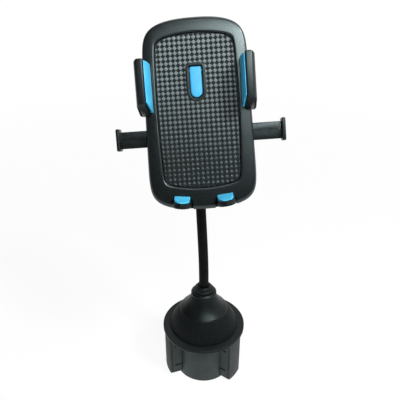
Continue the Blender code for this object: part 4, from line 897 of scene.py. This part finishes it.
jawForm = {"corners": ((35.0, -17.4), (37.2, -17.4), (37.2, -26.1), (36.8, -39.9), (35.2, -42.3),
                       (30.9, -42.3), (30.1, -26.4), (35.0, -26.1)),
           "radii": (0.9, 0.9, 1.2, 1.3, 1.2, 0.9, 0.8, 0.5), "edge": 0.6, "low": 1.0, "slopeFrom": -26.5,
           "slope": 0.41, "slopeZ": 0.0, "roundFrom": 34.0, "roundDrop": 2.9, "roundShare": 0.96,
           "roundAt": (22.0, 27.0)}
gripForm = {"corners": ((29.75, -26.9), (30.6, -41.5), (30.4, -42.05), (29.95, -41.7), (28.9, -36.5),
                        (28.3, -26.9)),
            "radii": (0.5, 0.4, 0.3, 0.4, 1.5, 0.5), "low": 2.4, "high": 33.0, "edge": 0.3, "lift": 1.6}
arrowForm = {"tip": 41.6, "neck": 45.6, "tail": 50.6, "headHalf": 2.1, "tailHalf": 0.8, "deep": 0.6,
             "dimpleAt": 38.4, "dimple": 0.9, "round": 0.2, "clear": 1.0, "edge": 0.02}


def slopedLow(y, low, lift=0.0):
    # the jaw's lower end climbs towards its front
    return np.maximum(low, jawForm["slopeZ"] + lift + (jawForm["slopeFrom"] - y) * jawForm["slope"])


def makeArm(side, label, layer, barTop):
    # jaw, slider with its rack bar and tab, the tab's end flange and the blue grip
    back = layer + armForm["layer"] - armForm["jawIn"]
    corners = np.array(jawForm["corners"])
    corners[:2, 1] = back
    outline = roundCorners(corners, jawForm["radii"], 8)
    outer = np.clip((outline[:, 0] - jawForm["roundFrom"]) / (corners[1, 0] - jawForm["roundFrom"]), 0, 1)
    drop = jawForm["roundDrop"] * (1 - np.sqrt(1 - jawForm["roundShare"] * outer ** 2))
    drop = drop * smooth(-outline[:, 1], *jawForm["roundAt"])
    outline = outline * (side, 1.0)
    low = slopedLow(outline[:, 1], jawForm["low"])
    points, faces = skin(softPrism(outline, low, armForm["high"] - drop, jawForm["edge"], 6))
    body = "arm_" + label
    jaw = newPiece(label + "Jaw", onCradle(points), faces, armBlack)
    wear(jaw, body, "satin_black", label + "_arm")

    top = armForm["high"] - armForm["inset"]
    bottom = armForm["low"] + armForm["inset"]
    tabEnd = -armForm["tabEnd"] + armForm["tabIn"]
    plate = [(armForm["end"], top), (armForm["stripIn"], top),
             (armForm["stripIn"], barTop), (-armForm["rackEnd"], barTop),
             (-armForm["rackEnd"], armForm["tabHigh"]), (tabEnd, armForm["tabHigh"]),
             (tabEnd, armForm["barLow"]), (armForm["stripOut"], armForm["barLow"]),
             (armForm["stripOut"], bottom), (armForm["end"], bottom)]
    flat = roundCorners(plate, armForm["radii"]) * (side, 1.0)
    points, faces = skin(upright(softPrism(flat, layer, layer + armForm["layer"], armForm["edge"], 4)))
    slider = newPiece(label + "Slider", onCradle(points), faces, armBlack)
    tabZ = (armForm["barLow"] + armForm["tabHigh"]) / 2
    arrow = [(-arrowForm["tip"], 0.0), (-arrowForm["neck"], arrowForm["headHalf"]),
             (-arrowForm["neck"], arrowForm["tailHalf"]), (-arrowForm["tail"], arrowForm["tailHalf"]),
             (-arrowForm["tail"], -arrowForm["tailHalf"]), (-arrowForm["neck"], -arrowForm["tailHalf"]),
             (-arrowForm["neck"], -arrowForm["headHalf"])]
    arrow = roundCorners(arrow, arrowForm["round"], 3) * (side, 1.0) + (0.0, tabZ)
    turn = np.linspace(0.0, 2 * math.pi, 32, endpoint=False)
    dimple = np.stack([-side * arrowForm["dimpleAt"] + arrowForm["dimple"] * np.cos(turn),
                       tabZ + arrowForm["dimple"] * np.sin(turn)], 1)
    cutters = []
    for shape in (arrow, dimple):
        rings = softPrism(shape, layer - arrowForm["clear"], layer + arrowForm["deep"], arrowForm["edge"], 2)
        points, faces = skin(upright(rings))
        cutters.append((onCradle(points), faces))
    cutWith(slider, cutters)
    wear(slider, body, "satin_black")

    middle = layer + armForm["layer"] / 2
    ends = sorted((-side * armForm["tabEnd"], -side * (armForm["tabEnd"] - armForm["flange"])))
    face = roundCorners([(middle - armForm["flangeHalf"], armForm["flangeLow"]),
                         (middle + armForm["flangeHalf"], armForm["flangeLow"]),
                         (middle + armForm["flangeHalf"], armForm["flangeHigh"]),
                         (middle - armForm["flangeHalf"], armForm["flangeHigh"])],
                        armForm["flangeRound"], 7)
    rings = softPrism(face, ends[0], ends[1], armForm["flangeEdge"])
    points, faces = skin(rings[..., [2, 0, 1]])
    wear(newPiece(label + "Flange", onCradle(points), faces, armBlack), body, "satin_black")

    grip = roundCorners(gripForm["corners"], gripForm["radii"], 6) * (side, 1.0)
    low = slopedLow(grip[:, 1], gripForm["low"], gripForm["lift"])
    points, faces = skin(softPrism(grip, low, gripForm["high"], gripForm["edge"]))
    wear(newPiece(label + "Grip", onCradle(points), faces, finishes["rubber_blue"]), body,
         "rubber_blue", label + "_arm_pad")


makeArm(-1.0, "left", armForm["frontLayer"], armForm["barHigh"])
makeArm(1.0, "right", armForm["rearLayer"], armForm["barHigh"] - armForm["rearBarDrop"])
print("arms made")


# feet

def footOutline(back, front, half, form):
    # straight sides and a half oval front
    turn = np.linspace(0.0, math.pi, 33)
    bendY = front + form["round"]
    curve = np.stack([-half * np.cos(turn), bendY - form["round"] * np.sin(turn)], 1)
    return np.concatenate([[(-half, back)], curve, [(half, back)]])


def leaned(rings, side, form):
    # turned out about the front to back axis and set beside the middle
    c = math.cos(math.radians(side * form["turn"]))
    s = math.sin(math.radians(side * form["turn"]))
    points = rings.reshape(-1, 3) @ np.array([[c, 0.0, s], [0.0, 1.0, 0.0], [-s, 0.0, c]])
    return (points + (side * form["x"], 0.0, form["top"])).reshape(rings.shape)


def makeFeet(form):
    # the plate that slides in the housing, then for each foot a shelf, its raised lip and the blue pad
    across = form["plateHalf"]
    plate = roundCorners([(-across, form["plateLow"]), (across, form["plateLow"]),
                          (across, form["plateHigh"]), (-across, form["plateHigh"])], form["plateRound"])
    points, faces = skin(upright(softPrism(plate, form["plate"][0], form["plate"][1], form["edge"], 4)))
    wear(newPiece("footSlide", onCradle(points), faces, armBlack), "feet", "satin_black",
         "foot_carrier")
    for side, label in ((-1.0, "left"), (1.0, "right")):
        shelf = footOutline(form["plate"][1] - form["shelfIn"], form["front"], form["half"], form)
        rings = softPrism(shelf, form["low"] - form["top"], 0.0, form["shelfEdge"], 6)
        points, faces = skin(leaned(rings, side, form))
        wear(newPiece(label + "FootShelf", onCradle(points), faces, finishes["satin_black"]), "feet",
             "satin_black")
        outer = footOutline(form["lipFrom"], form["front"] + form["lipIn"],
                            form["half"] - form["lipIn"], form)
        inner = footOutline(form["lipFrom"], form["front"] + form["lip"], form["half"] - form["lip"], form)
        rim = np.concatenate([outer[1:-1], inner[1:-1][::-1]])
        rim = rim[rim[:, 1] < form["lipFrom"] + form["lipKeep"]]
        rings = softPrism(rim, form["lipLow"], form["lipHigh"], form["edge"])
        points, faces = skin(leaned(rings, side, form))
        wear(newPiece(label + "FootLip", onCradle(points), faces, finishes["satin_black"]), "feet",
             "satin_black")
        inset = form["lip"] + form["gap"]
        pad = footOutline(form["padBack"], form["front"] + inset, form["half"] - inset, form)
        share = (pad[:, 1] - form["front"] - inset) / (form["padBack"] - form["front"] - inset)
        padTop = form["padLow"] + (form["padRise"] - form["padLow"]) * share
        points, faces = skin(leaned(softPrism(pad, form["gap"], padTop, form["edge"]), side, form))
        wear(newPiece(label + "FootGrip", onCradle(points), faces, finishes["rubber_blue"]), "feet",
             "rubber_blue", label + "_foot_pad")


makeFeet(footForm)
print("feet made")


# floor, lamps and view

stageForm = {"size": 80.0, "floor": (0.82, 0.82, 0.82), "rough": 0.9, "white": 1.02, "near": (0.35, 0.9),
             "far": (1.3, 1.0), "ambient": 0.08}
viewForm = {"place": (-7.2, -334.9, 358.0), "down": 28.17, "turn": -0.65, "focalPixels": 471.0,
            "imagePixels": 400.0, "sensor": 36.0, "clip": 0.01}
cardForm = {"front": -1.25, "back": 1.4, "left": -2.0, "right": 4.5, "low": 0.02, "high": 5.0, "tone": 0.012}
lamps = (
    {"name": "keyLamp", "place": (0.71, -0.68, 1.2), "wide": 0.22, "tall": 0.22, "power": 18.0},
    {"name": "glareLamp", "place": (0.215, -0.94, 1.045), "wide": 0.52, "tall": 0.24, "power": 8.6},
    {"name": "sideLamp", "place": (1.3, -0.25, 0.6), "wide": 0.6, "tall": 0.6, "power": 1.2},
    {"name": "fillLamp", "place": (-0.9, -0.6, 0.6), "wide": 0.8, "tall": 0.8, "power": 0.7},
    {"name": "topLamp", "place": (0.1, 0.45, 1.3), "wide": 0.8, "tall": 0.8, "power": 2.2})
aim = np.array([0.0, 0.0, 0.2])


def seenWhite(tree):
    # one where the camera, a reflection or a refraction looks, nought for other rays
    path = node(tree, "ShaderNodeLightPath").outputs
    first = node(tree, "ShaderNodeMath", {0: path["Is Camera Ray"], 1: path["Is Glossy Ray"]},
                 operation="MAXIMUM")
    both = node(tree, "ShaderNodeMath", {0: first.outputs["Value"], 1: path["Is Transmission Ray"]},
                operation="MAXIMUM")
    return both.outputs["Value"]


def makeFloor(form):
    half = form["size"] / 2
    points = np.array([(-half, -half, 0.0), (half, -half, 0.0), (half, half, 0.0), (-half, half, 0.0)])
    paint = bpy.data.materials.new("floorPaint")
    paint.use_nodes = True
    tree = paint.node_tree
    shader = tree.nodes["Principled BSDF"]
    shader.inputs["Base Color"].default_value = (*form["floor"], 1.0)
    shader.inputs["Roughness"].default_value = form["rough"]
    shader.inputs["Specular IOR Level"].default_value = 0.0
    glow = node(tree, "ShaderNodeEmission", {"Color": (1.0, 1.0, 1.0, 1.0), "Strength": form["white"]})
    # the glow is all there is far off, where the lamps no longer reach
    place = node(tree, "ShaderNodeTexCoord").outputs["Object"]
    away = node(tree, "ShaderNodeVectorMath", {0: place}, operation="LENGTH")
    share = node(tree, "ShaderNodeMapRange", {
        "Value": away.outputs["Value"], "From Min": form["near"][0], "From Max": form["far"][0],
        "To Min": form["near"][1], "To Max": form["far"][1]})
    part = node(tree, "ShaderNodeMath", {0: seenWhite(tree), 1: share.outputs["Result"]},
                operation="MULTIPLY")
    mixed = node(tree, "ShaderNodeMixShader", {
        0: part.outputs["Value"], 1: shader.outputs["BSDF"], 2: glow.outputs["Emission"]})
    tree.links.new(mixed.outputs["Shader"], tree.nodes["Material Output"].inputs["Surface"])
    floor = newPiece("paleFloor", points, [[0, 1, 2, 3]], paint)


def makeCard(form):
    # dark side of the studio behind the camera and on its left, met only by reflections and bounced light
    wall = np.array([(form["right"], form["front"]), (form["left"], form["front"]),
                     (form["left"], form["back"])])
    points = np.concatenate([np.insert(wall, 2, form["low"], 1), np.insert(wall, 2, form["high"], 1)])
    paint = bpy.data.materials.new("cardPaint")
    paint.use_nodes = True
    shader = paint.node_tree.nodes["Principled BSDF"]
    shader.inputs["Base Color"].default_value = (form["tone"], form["tone"], form["tone"], 1.0)
    shader.inputs["Roughness"].default_value = 1.0
    shader.inputs["Specular IOR Level"].default_value = 0.0
    card = newPiece("darkCard", points, [[0, 1, 4, 3], [1, 2, 5, 4]], paint)
    card.visible_camera = False


def makeWorld(form):
    # white to look at, but it lights the mount only faintly
    world = bpy.data.worlds.new("studio")
    world.use_nodes = True
    tree = world.node_tree
    ground = tree.nodes["Background"]
    ground.inputs["Color"].default_value = (1.0, 1.0, 1.0, 1.0)
    level = node(tree, "ShaderNodeMapRange", {
        "Value": seenWhite(tree), "To Min": form["ambient"], "To Max": 1.0})
    tree.links.new(level.outputs["Result"], ground.inputs["Strength"])
    bpy.context.scene.world = world


def makeLamps():
    for lamp in lamps:
        light = bpy.data.lights.new(lamp["name"], "AREA")
        light.shape = "RECTANGLE"
        light.size = lamp["wide"]
        light.size_y = lamp["tall"]
        light.energy = lamp["power"]
        holder = bpy.data.objects.new(lamp["name"], light)
        bpy.context.scene.collection.objects.link(holder)
        holder.location = lamp["place"]
        ray = aim - np.array(lamp["place"])
        holder.rotation_euler = (math.acos(-ray[2] / np.linalg.norm(ray)), 0.0,
                                 math.atan2(ray[1], ray[0]) - math.pi / 2)


def makeCamera(form):
    lens = bpy.data.cameras.new("photoView")
    lens.sensor_width = form["sensor"]
    lens.lens = form["focalPixels"] / form["imagePixels"] * form["sensor"]
    lens.clip_start = form["clip"]
    holder = bpy.data.objects.new("photoView", lens)
    bpy.context.scene.collection.objects.link(holder)
    holder.location = [value * mm for value in form["place"]]
    holder.rotation_euler = (math.radians(90.0 - form["down"]), 0.0, math.radians(form["turn"]))
    bpy.context.scene.camera = holder


makeFloor(stageForm)
makeCard(cardForm)
makeWorld(stageForm)
makeLamps()
makeCamera(viewForm)
bpy.context.scene.view_settings.view_transform = "Standard"
print("stage made")
